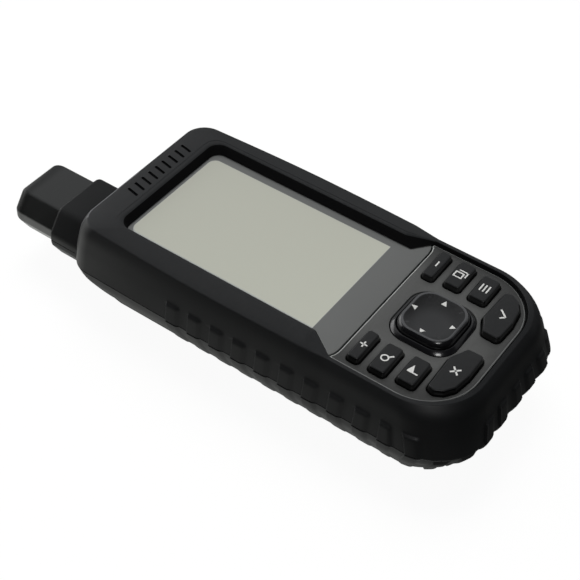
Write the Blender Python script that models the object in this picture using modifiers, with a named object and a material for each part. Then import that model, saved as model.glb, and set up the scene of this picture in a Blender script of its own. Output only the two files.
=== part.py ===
"""Handheld outdoor navigator in a black silicone sleeve, as an assembly.

Frame: the unit lies on its back. +X is the user's right, +Y points to the
antenna end, +Z comes out of the screen. The origin is under the middle of the
whole unit, on the plane that the sleeve's back rests on.
Working units in the functions below are millimetres, with y counted from the
sleeve's bottom end; the last lines move everything to the frame's origin.
"""
import bpy
import bmesh
from math import sin, cos, pi, radians
from mathutils import Vector, Matrix

MM = 0.001

# ---- driving dimensions (mm) -------------------------------------------------
SCREEN_Z = 34.5        # front face of lens and keypad panel
LIP_Z = 37.2           # sleeve's lip round the screen
CREASE_Z = 35.9        # outer edge of the sleeve's front frame
RIM_Z = 35.6           # sleeve's thin rim round the keypad
SEAM_Z = 19.8          # parting line of the sleeve, widest section
CASE_HW = 34.2         # half width of the sleeve at the parting line
CASE_Y1 = 140.0        # top end of the sleeve's body
BODY_HW = 31.2         # half width of the housing
BODY_Y0, BODY_Y1 = 4.0, 135.0
SHOULDER = (45.2, 55.0)   # where the screen opening widens into the keypad opening
ANT_X = -15.05         # middle of the antenna stub
ANT_TIP = 168.0        # end of the antenna stub
COLLAR_Y1 = 150.5      # end of the sleeve's collar on the stub
KEY_TOP = 36.4
KEY_TRAVEL = 0.6
CELL_R, CELL_LEN = 7.1, 49.3
CELL_Z = 10.9

# ---- scene reset and collections -------------------------------------------------
for ob in list(bpy.data.objects):
    bpy.data.objects.remove(ob, do_unlink=True)
PARTS = bpy.data.collections.new("handheld_navigator")
CUT = bpy.data.collections.new("handheld_navigator_cutters")
bpy.context.scene.collection.children.link(PARTS)
bpy.context.scene.collection.children.link(CUT)


def material(name, rgb, rough=0.5, metal=0.0):
    m = bpy.data.materials.new(name)
    m.use_nodes = True
    b = m.node_tree.nodes["Principled BSDF"]
    b.inputs["Base Color"].default_value = (*rgb, 1)
    b.inputs["Roughness"].default_value = rough
    b.inputs["Metallic"].default_value = metal
    m.diffuse_color = (*rgb, 1)
    return m


def add(name, mesh, mat=None, cutter=False, origin=None):
    """Make an object of a mesh in millimetre world coordinates; its origin goes to `origin`."""
    o = Vector(origin if origin is not None else (0, 0, 0))
    for v in mesh.vertices:
        v.co = (v.co - o) * MM
    ob = bpy.data.objects.new(name, mesh)
    ob.location = o * MM
    (CUT if cutter else PARTS).objects.link(ob)
    if cutter:
        ob.hide_render = True
        ob.hide_viewport = False
        ob.display_type = 'WIRE'
    elif mat:
        mesh.materials.append(mat)
    return ob


def from_bm(name, bm):
    bmesh.ops.recalc_face_normals(bm, faces=bm.faces[:])
    me = bpy.data.meshes.new(name)
    bm.to_mesh(me)
    bm.free()
    return me


# ---- shapes -----------------------------------------------------------------------
def half_ring(hb, ht, y0, y1, rb, rt, zb, zt, ys=SHOULDER, n=5, bow=0.0):
    """Right half of an outline, bottom middle to top middle: half width hb and height zb
    below the shoulder, ht and zt above it, corner radii rb and rt. The side bulges by bow."""
    pts = [(0, y0, zb)]
    for k in range(n + 1):
        a = -pi / 2 + pi / 2 * k / n
        pts.append((hb - rb + rb * cos(a), y0 + rb + rb * sin(a), zb))
    pts.append((hb, ys[0], zb))
    pts.append((ht + 0.6 * bow, ys[1], zt))
    if y1 > 100:
        pts.append((ht + bow, 88.0, zt))
    for k in range(n + 1):
        a = pi / 2 * k / n
        pts.append((ht - rt + rt * cos(a), y1 - rt + rt * sin(a), zt))
    pts.append((0, y1, zt))
    return pts


def ring(hb, ht, y0, y1, rb, rt, zb, zt=None, ys=SHOULDER, n=5, bow=0.0):
    zt = zb if zt is None else zt
    h = half_ring(hb, ht, y0, y1, rb, rt, zb, zt, ys, n, bow)
    return h + [(-x, y, z) for x, y, z in h[-2:0:-1]]


def plate_ring(x0, x1, y0, y1, r, z, n=4):
    """Rounded rectangle, counter-clockwise."""
    out = []
    for cx, cy, a0 in ((x1 - r, y0 + r, -90), (x1 - r, y1 - r, 0), (x0 + r, y1 - r, 90), (x0 + r, y0 + r, 180)):
        for k in range(n + 1):
            a = radians(a0 + 90 * k / n)
            out.append((cx + r * cos(a), cy + r * sin(a), z))
    return out


def loft(rings, closed=False):
    """Skin between rings with the same number of points. Closed joins last to first;
    otherwise both ends are capped."""
    bm = bmesh.new()
    rows = [[bm.verts.new(p) for p in r] for r in rings]
    n = len(rows[0])
    m = len(rows)
    for i in range(m if closed else m - 1):
        a, b = rows[i], rows[(i + 1) % m]
        for j in range(n):
            k = (j + 1) % n
            bm.faces.new((a[j], a[k], b[k], b[j]))
    if not closed:
        bm.faces.new(rows[0][::-1])
        bm.faces.new(rows[-1])
    return bm


def lofted(name, rings, mat=None, closed=False, cutter=False, origin=None):
    return add(name, from_bm(name, loft(rings, closed)), mat, cutter, origin)


def box(name, x0, x1, y0, y1, z0, z1, mat=None, cutter=False, origin=None, bevel=0.0):
    bm = bmesh.new()
    bmesh.ops.create_cube(bm, size=1.0)
    for v in bm.verts:
        v.co = Vector(((x0 + x1) / 2 + v.co.x * (x1 - x0), (y0 + y1) / 2 + v.co.y * (y1 - y0),
                       (z0 + z1) / 2 + v.co.z * (z1 - z0)))
    ob = add(name, from_bm(name, bm), mat, cutter, origin)
    if bevel:
        b = ob.modifiers.new("edges", 'BEVEL')
        b.width = bevel * MM
        b.segments = 1
    return ob


def cyl(name, p0, p1, r0, r1=None, mat=None, cutter=False, origin=None, n=16):
    r1 = r0 if r1 is None else r1
    p0, p1 = Vector(p0), Vector(p1)
    d = p1 - p0
    bm = bmesh.new()
    bmesh.ops.create_cone(bm, cap_ends=True, segments=n, radius1=r0, radius2=r1, depth=d.length)
    rot = d.to_track_quat('Z', 'Y').to_matrix().to_4x4()
    bmesh.ops.transform(bm, matrix=Matrix.Translation((p0 + p1) / 2) @ rot, verts=bm.verts[:])
    ob = add(name, from_bm(name, bm), mat, cutter, origin)
    ob.data.shade_smooth()
    ob.data.set_sharp_from_angle(angle=radians(35))
    return ob


def lathe_ring(name, centre, axis, profile, mat, n=16, origin=None):
    """Ring about an axis from a closed (radius, height) profile, as a Screw on a loop."""
    bm = bmesh.new()
    vs = [bm.verts.new((r * MM, 0, h * MM)) for r, h in profile]
    for i in range(len(vs)):
        bm.edges.new((vs[i], vs[(i + 1) % len(vs)]))
    me = bpy.data.meshes.new(name)
    bm.to_mesh(me)
    bm.free()
    me.materials.append(mat)
    ob = bpy.data.objects.new(name, me)
    ob.location = Vector(centre) * MM
    ob.rotation_mode = 'QUATERNION'
    ob.rotation_quaternion = Vector(axis).to_track_quat('Z', 'Y')
    PARTS.objects.link(ob)
    s = ob.modifiers.new("turn", 'SCREW')
    s.steps = s.render_steps = n
    s.use_merge_vertices = True
    s.merge_threshold = 1e-6
    s.use_normal_calculate = True
    return ob


def boolean(ob, cutter, op='DIFFERENCE'):
    b = ob.modifiers.new(op.lower() + "_" + cutter.name, 'BOOLEAN')
    b.operation = op
    b.solver = 'EXACT'
    b.object = cutter
    return ob


def wire_mesh(name, points, r, mat, origin=None, cyclic=False, sides=6):
    """Round wire along points, as a bevelled curve turned into a mesh with welded caps."""
    cu = bpy.data.curves.new(name, 'CURVE')
    cu.dimensions = '3D'
    sp = cu.splines.new('POLY')
    sp.points.add(len(points) - 1)
    for p, q in zip(sp.points, points):
        p.co = (*q, 1)
    sp.use_cyclic_u = cyclic
    cu.bevel_depth = r
    cu.bevel_resolution = max(0, sides // 2 - 2)
    cu.use_fill_caps = True
    tmp = bpy.data.objects.new(name + "_curve", cu)
    PARTS.objects.link(tmp)
    dg = bpy.context.evaluated_depsgraph_get()
    me = bpy.data.meshes.new_from_object(tmp.evaluated_get(dg))
    bpy.data.objects.remove(tmp, do_unlink=True)
    bm = bmesh.new()
    bm.from_mesh(me)
    bmesh.ops.remove_doubles(bm, verts=bm.verts[:], dist=1e-5)
    me2 = from_bm(name, bm)
    return add(name, me2, mat, False, origin)


# ---- materials -----------------------------------------------------------------------
SILICONE = material("silicone_black", (0.022, 0.024, 0.024), 0.62)
PLASTIC = material("housing_black", (0.02, 0.021, 0.022), 0.5)
PANEL = material("panel_grey", (0.11, 0.112, 0.108), 0.38)
LENS = material("lens_glass", (0.30, 0.31, 0.28), 0.12)
LCD = material("lcd_glass", (0.42, 0.43, 0.38), 0.25)
KEY = material("key_black", (0.03, 0.031, 0.032), 0.4)
GLOSS = material("rocker_gloss", (0.012, 0.012, 0.014), 0.15)
RADOME = material("antenna_black", (0.035, 0.037, 0.036), 0.45)
PCB = material("board_green", (0.02, 0.16, 0.07), 0.5)
STEEL = material("steel", (0.6, 0.6, 0.58), 0.32, 1.0)
BRASSY = material("plated_contact", (0.75, 0.62, 0.34), 0.3, 1.0)
WHITE = material("white_plastic", (0.75, 0.75, 0.72), 0.4)
RUBBER = material("seal_grey", (0.12, 0.12, 0.12), 0.8)
CELL = material("cell_sleeve", (0.32, 0.33, 0.35), 0.35)
CERAM = material("antenna_ceramic", (0.72, 0.68, 0.58), 0.5)
CLEAR = material("clear_lens", (0.7, 0.72, 0.72), 0.05)


def frame_ring(off, z, zt=None):
    """Screen and keypad opening outline in the front of the unit, grown by off."""
    return ring(28.45 + off, 24.55 + off, 7.9 - off, 126.1 + off, 17.0 + off, 4.0 + off, z, zt)


def stub(off, y0, y1, tip=0.0):
    """Antenna stub section: flat front and back, wide chamfers; grown by off."""
    prof = [(8.3, 27.4), (12.6, 21.7), (12.6, 18.4), (9.0, 12.4), (-9.0, 12.4), (-12.6, 18.4), (-12.6, 21.7), (-8.3, 27.4)]
    zc = 20.0

    def sec(y, s, o):
        out = []
        for x, z in prof:
            sx = (x * s) + (o if x > 0 else -o)
            sz = zc + (z - zc) * s + (o if z > 26 else (-o if z < 15 else 0.4 * o * (1 if z > zc else -1)))
            out.append((ANT_X + sx, y, sz))
        return out
    rings = [sec(y0, 1.0, off)]
    if tip:
        rings += [sec(y1 - tip, 0.99, off), sec(y1 - tip * 0.35, 0.93, off), sec(y1, 0.78, off)]
    else:
        rings.append(sec(y1, 1.0, off))
    return rings


# ---- sleeve ------------------------------------------------------------------------------
sleeve = lofted("silicone_sleeve", [
    ring(21.0, 21.0, 12.0, 127.0, 6, 5, 0.0),
    ring(23.6, 23.6, 9.6, 129.6, 8, 6, 1.4),
    ring(27.6, 27.6, 6.6, 133.4, 11, 7, 6.6),
    ring(31.2, 31.2, 3.8, 136.8, 17, 8, 12.4),
    ring(33.2, 33.2, 1.4, 138.8, 18, 9, 16.4),
    ring(34.0, 34.0, 0.0, CASE_Y1, 17.8, 9.5, SEAM_Z - 0.5, bow=0.4),
    ring(34.0, 34.0, 0.0, CASE_Y1, 17.8, 9.5, SEAM_Z + 0.5, bow=0.4),
    ring(32.6, 32.6, 2.2, 139.4, 18.4, 9.2, 28.0, 28.6, bow=0.8),
    ring(31.2, 31.2, 4.4, 137.9, 18.8, 8.6, RIM_Z - 1.6, CREASE_Z - 1.6, bow=1.0),
    ring(30.3, 30.4, 5.8, 137.0, 18.4, 8.2, RIM_Z, CREASE_Z, bow=1.3),
    ring(29.1, 24.9, 7.2, 126.3, 17.6, 4.4, RIM_Z, LIP_Z),
    ring(28.7, 22.3, 7.7, 124.2, 17.2, 3.4, SCREEN_Z + 0.3, ys=(45.2, 51.0)),
    ring(29.7, 29.7, 5.4, 134.4, 16.8, 7.6, SCREEN_Z + 0.3),
    ring(31.5, 31.5, 3.7, 135.3, 17, 8, SEAM_Z + 1),
    ring(30.6, 30.6, 4.6, 134.6, 15.5, 7.8, 16.4),
    ring(28.4, 28.4, 6.6, 133.0, 12, 7, 12.6),
    ring(24.6, 24.6, 9.6, 130.2, 9, 6, 7.2),
    ring(19.6, 19.6, 13.4, 126.4, 5, 5, 1.7),
    ring(17.2, 17.2, 16.0, 121.0, 4, 4, 1.7),
    ring(17.2, 17.2, 16.0, 121.0, 4, 4, 0.0),
], SILICONE, closed=True)
collar = lofted("cut_collar_body", stub(1.9, 136.2, COLLAR_Y1), cutter=True)
boolean(sleeve, collar, 'UNION')
boolean(sleeve, lofted("cut_collar_bore", stub(0.3, 130.0, 156.0), cutter=True))
boolean(sleeve, box("cut_cap_window", 29.9, 40, 94.6, 116.4, 22.4, 31.6, cutter=True))
boolean(sleeve, box("cut_power_window", 29.9, 40, 74.6, 87.4, 23.0, 31.2, cutter=True))
boolean(sleeve, cyl("cut_torch_window", (13, 129, 27.0), (13, 146, 27.0), 5.6, cutter=True))

# ---- front housing ---------------------------------------------------------------------------
front = lofted("front_housing", [
    ring(BODY_HW, BODY_HW, BODY_Y0, BODY_Y1, 16.7, 8, 21.8),
    ring(29.4, 29.4, 5.7, 134.1, 16.8, 7.6, SCREEN_Z - 0.3),
    frame_ring(0.3, SCREEN_Z - 0.3),
    frame_ring(0.3, 33.0),
    ring(27.6, 22.6, 8.7, 124.2, 16.3, 3.2, 33.0),
    ring(27.6, 22.6, 8.7, 124.2, 16.3, 3.2, 31.8),
    ring(28.1, 28.1, 6.9, 132.3, 15.4, 7, 31.8),
    ring(29.2, 29.2, 6.0, 133.0, 15.3, 7, 21.8),
], PLASTIC, closed=True)
BOSSES = [(26.2, 62.0), (26.2, 122.0), (-26.2, 62.0), (-26.2, 122.0), (14.0, 8.1), (-14.0, 8.1)]
for i, (bx, by) in enumerate(BOSSES):
    boolean(front, cyl("cut_boss_%d" % i, (bx, by, 21.8), (bx, by, 32.4 if by > 20 else 31.2), 1.9, n=12, cutter=True), 'UNION')
for i, (bx, by) in enumerate(BOSSES):
    boolean(front, cyl("cut_boss_bore_%d" % i, (bx, by, 20.0), (bx, by, 30.4), 1.0, n=12, cutter=True))
boolean(front, box("cut_cap_seat", 30.0, 40, 96.0, 114.4, 23.6, 30.4, cutter=True))
boolean(front, box("cut_usb_port", 27, 40, 100.6, 109.4, 25.2, 28.8, cutter=True))
boolean(front, box("cut_power_hole", 27, 40, 76.6, 85.4, 24.7, 29.5, cutter=True))
boolean(front, cyl("cut_torch_hole", (13, 129, 27.0), (13, 142, 27.0), 4.6, cutter=True))
boolean(front, cyl("cut_coax_hole_front", (-15, 129, 24.5), (-15, 142, 24.5), 1.5, n=10, cutter=True))

# ---- rear housing with battery well --------------------------------------------------------------
rear = lofted("rear_housing", [
    ring(19.2, 19.2, 13.8, 126.0, 5, 5, 2.0),
    ring(24.2, 24.2, 10.0, 129.8, 9, 6, 7.5),
    ring(28.1, 28.1, 6.9, 132.7, 12, 7, 12.9),
    ring(30.3, 30.3, 4.9, 134.3, 15.4, 7.8, 16.6),
    ring(BODY_HW, BODY_HW, BODY_Y0, BODY_Y1, 16.7, 8, 20.4),
], PLASTIC)
boolean(rear, lofted("cut_rear_cavity", [
    ring(21.0, 21.0, 13.0, 125.5, 5, 5, 8.0),
    ring(25.8, 25.8, 9.0, 129.4, 10, 6, 12.9),
    ring(28.2, 28.2, 7.0, 131.8, 13.6, 7, 16.6),
    ring(29.2, 29.2, 6.0, 133.0, 15.3, 7, 20.4),
    ring(29.3, 29.3, 5.9, 133.1, 15.3, 7, 22.4),
], cutter=True))
boolean(rear, box("cut_battery_box", -16.8, 16.8, 14.5, 94.2, 6.0, 19.6, cutter=True), 'UNION')
boolean(rear, box("cut_battery_well", -15.2, 15.2, 32.0, 90.6, -1.0, 18.4, cutter=True))
boolean(rear, box("cut_door_seat", -16.0, 16.0, 17.2, 92.4, -1.0, 3.7, cutter=True))
boolean(rear, cyl("cut_latch_well", (0, 25, 1.0), (0, 25, 9.0), 5.4, cutter=True))
for i, (bx, by) in enumerate(BOSSES):
    boolean(rear, cyl("cut_rear_post_%d" % i, (bx, by, 14.6), (bx, by, 20.4), 1.9, n=12, cutter=True), 'UNION')
for i, (bx, by) in enumerate(BOSSES):
    boolean(rear, cyl("cut_rear_bore_%d" % i, (bx, by, 4.0), (bx, by, 22.4), 1.3, n=12, cutter=True))
    boolean(rear, cyl("cut_rear_head_%d" % i, (bx, by, 4.0), (bx, by, 16.2), 2.2, n=12, cutter=True))

gasket = lofted("housing_gasket", [
    ring(30.6, 30.6, 4.6, 134.4, 16.2, 7.8, 20.7),
    ring(30.6, 30.6, 4.6, 134.4, 16.2, 7.8, 21.5),
    ring(29.6, 29.6, 5.6, 133.4, 15.6, 7.2, 21.5),
    ring(29.6, 29.6, 5.6, 133.4, 15.6, 7.2, 20.7),
], RUBBER, closed=True)

for i, (bx, by) in enumerate(BOSSES):
    head = 15.9
    s = cyl("housing_screw_%d" % (i + 1), (bx, by, head - 1.4), (bx, by, head), 1.8, mat=STEEL, n=12)
    boolean(s, cyl("cut_shank_%d" % i, (bx, by, head - 0.4), (bx, by, 29.8), 0.7, n=8, cutter=True), 'UNION')
    boolean(s, box("cut_slot_%d" % i, bx - 1.9, bx + 1.9, by - 0.25, by + 0.25, head - 2.0, head - 0.9, cutter=True))

# ---- screen and keypad panel -----------------------------------------------------------------------
LENS_Y0 = 45.5
lens_pts = [(28.1, LENS_Y0), (24.55, 55.0)] + [p[:2] for p in half_ring(28.45, 24.55, 7.9, 126.1, 17.0, 4.0, 0, 0)[10:16]]
lens_full = lens_pts + [(-x, y) for x, y in lens_pts[::-1]]
lofted("display_lens", [[(x, y, z) for x, y in lens_full] for z in (33.3, SCREEN_Z)], LENS)
box("lcd_module", -21.4, 21.4, 54.0, 123.0, 31.0, 33.0, LCD)
box("backlight", -21.4, 21.4, 54.0, 123.0, 29.3, 30.7, WHITE)

PANEL_Y1 = 45.1
pan_half = [p[:2] for p in half_ring(28.45, 24.55, 7.9, 126.1, 17.0, 4.0, 0, 0)[1:7]] + [(28.45, PANEL_Y1)]
pan_full = pan_half + [(-x, y) for x, y in pan_half[::-1]]
panel = lofted("keypad_panel", [[(x, y, z) for x, y in pan_full] for z in (33.3, SCREEN_Z)], PANEL)

BIG = [(9.4, 18.9), (3.4, 15.9), (3.3, 10.9), (4.8, 10.3), (12.3, 10.2), (18.3, 11.1), (21.5, 13.2), (23.0, 15.9), (22.2, 18.4)]
KEYS = {
    "key_zoom_in": (-26.3, -13.9, 38.1, 42.2), "key_zoom_out": (13.9, 26.3, 38.1, 42.2),
    "key_find": (-26.2, -14.7, 29.6, 35.2), "key_page": (14.7, 26.2, 29.6, 35.2),
    "key_mark": (-25.1, -14.4, 20.8, 26.8), "key_menu": (14.4, 25.1, 20.8, 26.8),
    "key_quit": [(-x, y) for x, y in BIG[::-1]], "key_enter": BIG,
}


def grow(poly, d):
    """Offset a convex outline outwards by d, along the corner normals."""
    n = len(poly)
    area = sum(poly[i][0] * poly[(i + 1) % n][1] - poly[(i + 1) % n][0] * poly[i][1] for i in range(n))
    if area < 0:
        poly = poly[::-1]
    out = []
    for i in range(n):
        a, b, c = Vector(poly[i - 1]), Vector(poly[i]), Vector(poly[(i + 1) % n])
        e1, e2 = (b - a).normalized(), (c - b).normalized()
        n1, n2 = Vector((e1.y, -e1.x)), Vector((e2.y, -e2.x))
        m = (n1 + n2).normalized()
        out.append(tuple(b + m * (d / max(0.5, m.dot(n1)))))
    return out


def key_outline(spec):
    if isinstance(spec, tuple):
        return [p[:2] for p in plate_ring(*spec, 1.0, 0, n=2)]
    return spec


for name, spec in KEYS.items():
    o = key_outline(spec)
    cx = sum(p[0] for p in o) / len(o)
    cy = sum(p[1] for p in o) / len(o)
    rows = [[(x, y, z) for x, y in grow(o, d)] for d, z in
            ((0.4, 32.2), (0.4, 32.9), (0.0, 32.9), (0.0, 33.0), (0.0, KEY_TOP - 0.9), (-0.55, KEY_TOP - 0.2), (-0.9, KEY_TOP))]
    lofted(name, [rows[0], rows[1], rows[3], rows[4], rows[5], rows[6]], KEY, origin=(cx, cy, 33.0))
    boolean(panel, lofted("cut_hole_" + name, [[(x, y, z) for x, y in grow(o, 0.3)] for z in (32, 36)], cutter=True))

ROCK = (0.1, 29.4)


def rock_ring(hx, hy, z, r=None):
    r = min(hx, hy) * 0.62 if r is None else r
    return plate_ring(ROCK[0] - hx, ROCK[0] + hx, ROCK[1] - hy, ROCK[1] + hy, r, z, n=5)


boolean(panel, lofted("cut_rocker_hole", [rock_ring(11.4, 11.0, 32.0), rock_ring(11.4, 11.0, 36.0)], cutter=True))
rocker = lofted("rocker_cap", [rock_ring(8.0, 7.6, 33.6), rock_ring(9.3, 8.9, 33.9), rock_ring(9.4, 9.0, 35.2), rock_ring(9.0, 8.5, 36.8),
                               rock_ring(8.4, 7.9, 37.6), rock_ring(7.5, 7.0, 37.3), rock_ring(3.4, 3.0, 36.7)],
                GLOSS, origin=(ROCK[0], ROCK[1], 33.0))
boolean(rocker, cyl("cut_rocker_socket", (ROCK[0], ROCK[1], 33.0), (ROCK[0], ROCK[1], 35.4), 3.2, n=12, cutter=True))
lofted("rocker_trim_ring", [rock_ring(10.8, 10.4, 33.6), rock_ring(10.8, 10.4, 34.5), rock_ring(10.4, 10.0, 34.9),
                            rock_ring(9.9, 9.5, 34.8), rock_ring(9.8, 9.4, 33.6)], GLOSS, closed=True, origin=(ROCK[0], ROCK[1], 33.0))
post = cyl("rocker_pivot", (ROCK[0], ROCK[1], 31.9), (ROCK[0], ROCK[1], 34.2), 2.0, 2.6, mat=WHITE, n=12, origin=(ROCK[0], ROCK[1], 33.0))

membrane = lofted("key_membrane", [ring(26.9, 26.9, 10.5, 43.6, 14.0, 1.5, z, ys=(30, 38), n=4) for z in (30.6, 31.5)], RUBBER)
domes = lofted("dome_switch_sheet", [ring(26.2, 26.2, 11.4, 43.2, 14.0, 1.5, z, ys=(30, 38), n=4) for z in (28.75, 29.05)], STEEL)
SW = [(20.1, 40.1), (-20.1, 40.1), (20.4, 32.4), (-20.4, 32.4), (19.7, 23.8), (-19.7, 23.8), (12, 15), (-12, 15),
      (0.1, 36), (0.1, 22.8), (-7.5, 29.4), (7.7, 29.4)]
for i, (sx, sy) in enumerate(SW):
    boolean(domes, cyl("cut_dome_%d" % i, (sx, sy, 28.9), (sx, sy, 30.2), 2.2, 1.2, n=10, cutter=True), 'UNION')

# ---- electronics -----------------------------------------------------------------------------------
board = lofted("main_board", [ring(26.2, 24.0, 12.0, 127.5, 13, 2, z, ys=(46, 50), n=4) for z in (27.2, 28.4)], PCB)
box("radio_shield_can", -16, 12, 58, 92, 23.6, 26.9, STEEL, bevel=0.5)
box("gps_module", -22, -10, 100, 112, 24.4, 26.9, STEEL, bevel=0.4)
cyl("buzzer", (14, 40, 22.6), (14, 40, 26.9), 6.0, mat=PLASTIC, n=16)
box("card_socket", -7.5, 7.5, 98, 113, 25.0, 26.9, STEEL, bevel=0.3)
box("pressure_sensor", -2, 2, 118, 122, 25.6, 26.9, WHITE)
usb = box("usb_port", 20.5, 29.4, 101.0, 109.0, 25.5, 28.5, STEEL)
boolean(board, box("cut_usb_notch", 19.8, 30, 100.0, 110.0, 24.0, 29.0, cutter=True))
boolean(board, box("cut_switch_notch", 21.4, 30, 76.4, 85.6, 24.0, 29.0, cutter=True))
boolean(usb, box("cut_usb_mouth", 22.5, 31.0, 101.5, 108.5, 26.0, 28.0, cutter=True))

power = box("power_button", 29.6, 32.9, 77.0, 85.0, 25.1, 29.1, RUBBER, origin=(31, 81, 27.1), bevel=0.4)
boolean(power, box("cut_power_flange", 27.3, 28.1, 76.2, 85.8, 25.2, 29.0, cutter=True), 'UNION')
boolean(power, box("cut_power_neck", 27.8, 30.0, 77.6, 84.4, 25.4, 28.8, cutter=True), 'UNION')
box("power_switch", 21.8, 26.3, 77.5, 84.5, 25.4, 28.8, STEEL, bevel=0.3)

cap = box("usb_weather_cap", 30.3, 31.5, 96.4, 114.0, 24.0, 30.0, RUBBER, origin=(30.9, 113.4, 27.0), bevel=0.35)
boolean(cap, box("cut_cap_pull", 31.2, 32.1, 97.0, 98.6, 25.2, 28.8, cutter=True), 'UNION')

cyl("torch_lens", (13, 133.3, 27.0), (13, 135.0, 27.0), 4.2, mat=CLEAR, n=20)
cyl("torch_led", (13, 130.2, 27.0), (13, 132.2, 27.0), 1.8, mat=WHITE, n=12)

# ---- antenna ---------------------------------------------------------------------------------------------
radome = lofted("antenna_radome", stub(0.0, 135.3, ANT_TIP, tip=3.0), RADOME)
boolean(radome, lofted("cut_radome_core", [[(ANT_X + (x - ANT_X) * 0.84, y, 20.0 + (z - 20.0) * 0.76) for x, y, z in r]
                                           for r in stub(0.0, 132.0, 163.0)], cutter=True))
helix = cyl("antenna_helix_core", (ANT_X, 141.0, 20.0), (ANT_X, 161.5, 20.0), 4.2, mat=CERAM, n=20)
boolean(helix, cyl("cut_helix_bore", (ANT_X, 140, 20.0), (ANT_X, 164, 20.0), 3.2, n=20, cutter=True))
turns = []
for i in range(37):
    a = 2 * pi * 2.25 * i / 36
    turns.append((ANT_X + 4.8 * cos(a), 142.0 + 18.0 * i / 36, 20.0 + 4.8 * sin(a)))
wire_mesh("antenna_helix_wire", turns, 0.25, BRASSY, sides=4)
box("antenna_base_board", ANT_X - 7.0, ANT_X + 7.0, 136.2, 140.2, 19.2, 20.8, PCB)
wire_mesh("antenna_coax", [(-15, 126.0, 24.5), (-15, 130.0, 24.5), (-15, 135.5, 24.5), (-15, 137.0, 23.6), (-15, 138.5, 22.1)], 0.6, STEEL, sides=8)

# ---- battery bay ----------------------------------------------------------------------------------------------
door = box("battery_door", -15.7, 15.7, 17.5, 92.1, 1.7, 3.4, PLASTIC, origin=(0, 55, 2.0), bevel=0.5)
boolean(door, cyl("cut_door_latch_hole", (0, 25, 0), (0, 25, 6), 5.5, cutter=True))
for i, gx in enumerate((-11.5, -8.5, 8.5, 11.5)):
    boolean(door, box("cut_door_groove_%d" % i, gx - 0.5, gx + 0.5, 40, 84, 1.0, 2.1, cutter=True))
boolean(door, lofted("cut_door_seal_lip", [
    plate_ring(-14.7, 14.7, 32.6, 90.0, 1.0, 3.3, n=1), plate_ring(-14.7, 14.7, 32.6, 90.0, 1.0, 3.9, n=1)], cutter=True), 'UNION')
boolean(door, box("cut_door_seal_relief", -13.9, 13.9, 33.4, 89.2, 3.0, 5.0, cutter=True))
latch = cyl("door_latch", (0, 25, 2.1), (0, 25, 3.4), 5.2, mat=KEY, n=24, origin=(0, 25, 2.1))
boolean(latch, cyl("cut_latch_stem", (0, 25, 3.2), (0, 25, 6.4), 2.6, n=14, cutter=True), 'UNION')
boolean(latch, box("cut_latch_cam", -4.7, 4.7, 24.0, 26.0, 5.2, 6.8, cutter=True), 'UNION')
boolean(latch, box("cut_latch_bridge", -1.3, 1.3, 23.5, 26.5, 0.15, 2.3, cutter=True), 'UNION')
boolean(latch, cyl("cut_latch_groove", (-5, 25, 1.35), (5, 25, 1.35), 0.82, n=12, cutter=True))
dpts = [(-4.2, 25.0, 1.35)]
for i in range(9):
    a = pi - pi * i / 8
    dpts.append((4.2 * cos(a), 26.0 + 3.6 * sin(a), 1.35))
dpts.append((4.2, 25.0, 1.35))
wire_mesh("latch_d_ring", dpts, 0.5, STEEL, origin=(0, 25, 1.35), cyclic=True, sides=6)

for i, cx in enumerate((-7.6, 7.6)):
    d = 1 if i == 0 else -1
    y0, y1 = 37.2, 37.2 + CELL_LEN
    if d < 0:
        y0, y1 = y1 - 1.2, 36.0
    nm = "aa_cell_left" if i == 0 else "aa_cell_right"
    c = cyl(nm, (cx, y0, CELL_Z), (cx, y1, CELL_Z), CELL_R, mat=CELL, n=24)
    boolean(c, cyl("cut_cell_tip_%d" % i, (cx, y1 - d * 0.5, CELL_Z), (cx, y1 + d * 1.2, CELL_Z), 2.7, n=14, cutter=True), 'UNION')
    # the flat contact touches the button end, the coil spring the flat end
    py = y1 + d * 1.5
    box("cell_contact_%s" % nm[8:], cx - 4, cx + 4, min(py, py + d * 0.4), max(py, py + d * 0.4), 6.5, 15.3, BRASSY)
    sp = []
    for k in range(31):
        a = 2 * pi * 2.5 * k / 30
        rr = 3.6 - 1.1 * k / 30
        sp.append((cx + rr * cos(a), (y0 - d * 3.9) + d * 3.2 * k / 30, CELL_Z + rr * sin(a)))
    wire_mesh("cell_spring_%s" % nm[8:], sp, 0.3, STEEL, sides=4)

# ---- mounting spine on the back ------------------------------------------------------------------------------------
spine = box("mounting_spine", -7.0, 7.0, 96.0, 118.0, 0.3, 1.7, PLASTIC, bevel=0.3)
boolean(spine, box("cut_spine_slot", -2.2, 2.2, 104, 118.5, -0.5, 1.1, cutter=True))
boolean(spine, box("cut_spine_ledge_l", -7.6, -5.4, 95, 119, 1.05, 2.2, cutter=True))
boolean(spine, box("cut_spine_ledge_r", 5.4, 7.6, 95, 119, 1.05, 2.2, cutter=True))

# ---- heights along the unit were counted from its bottom end: centre it on the origin --------------------------------
for ob in list(PARTS.objects) + list(CUT.objects):
    ob.location.y -= ANT_TIP / 2 * MM
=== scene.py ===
"""Handheld outdoor navigator in a black silicone sleeve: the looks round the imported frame.

Lengths in the helpers are millimetres, with y counted from the sleeve's bottom end;
W() turns them into the frame's metres.
"""
import bpy
import bmesh
import numpy as np
from math import sin, cos, tan, pi, radians, degrees, sqrt, hypot
from mathutils import Vector, Matrix


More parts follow.
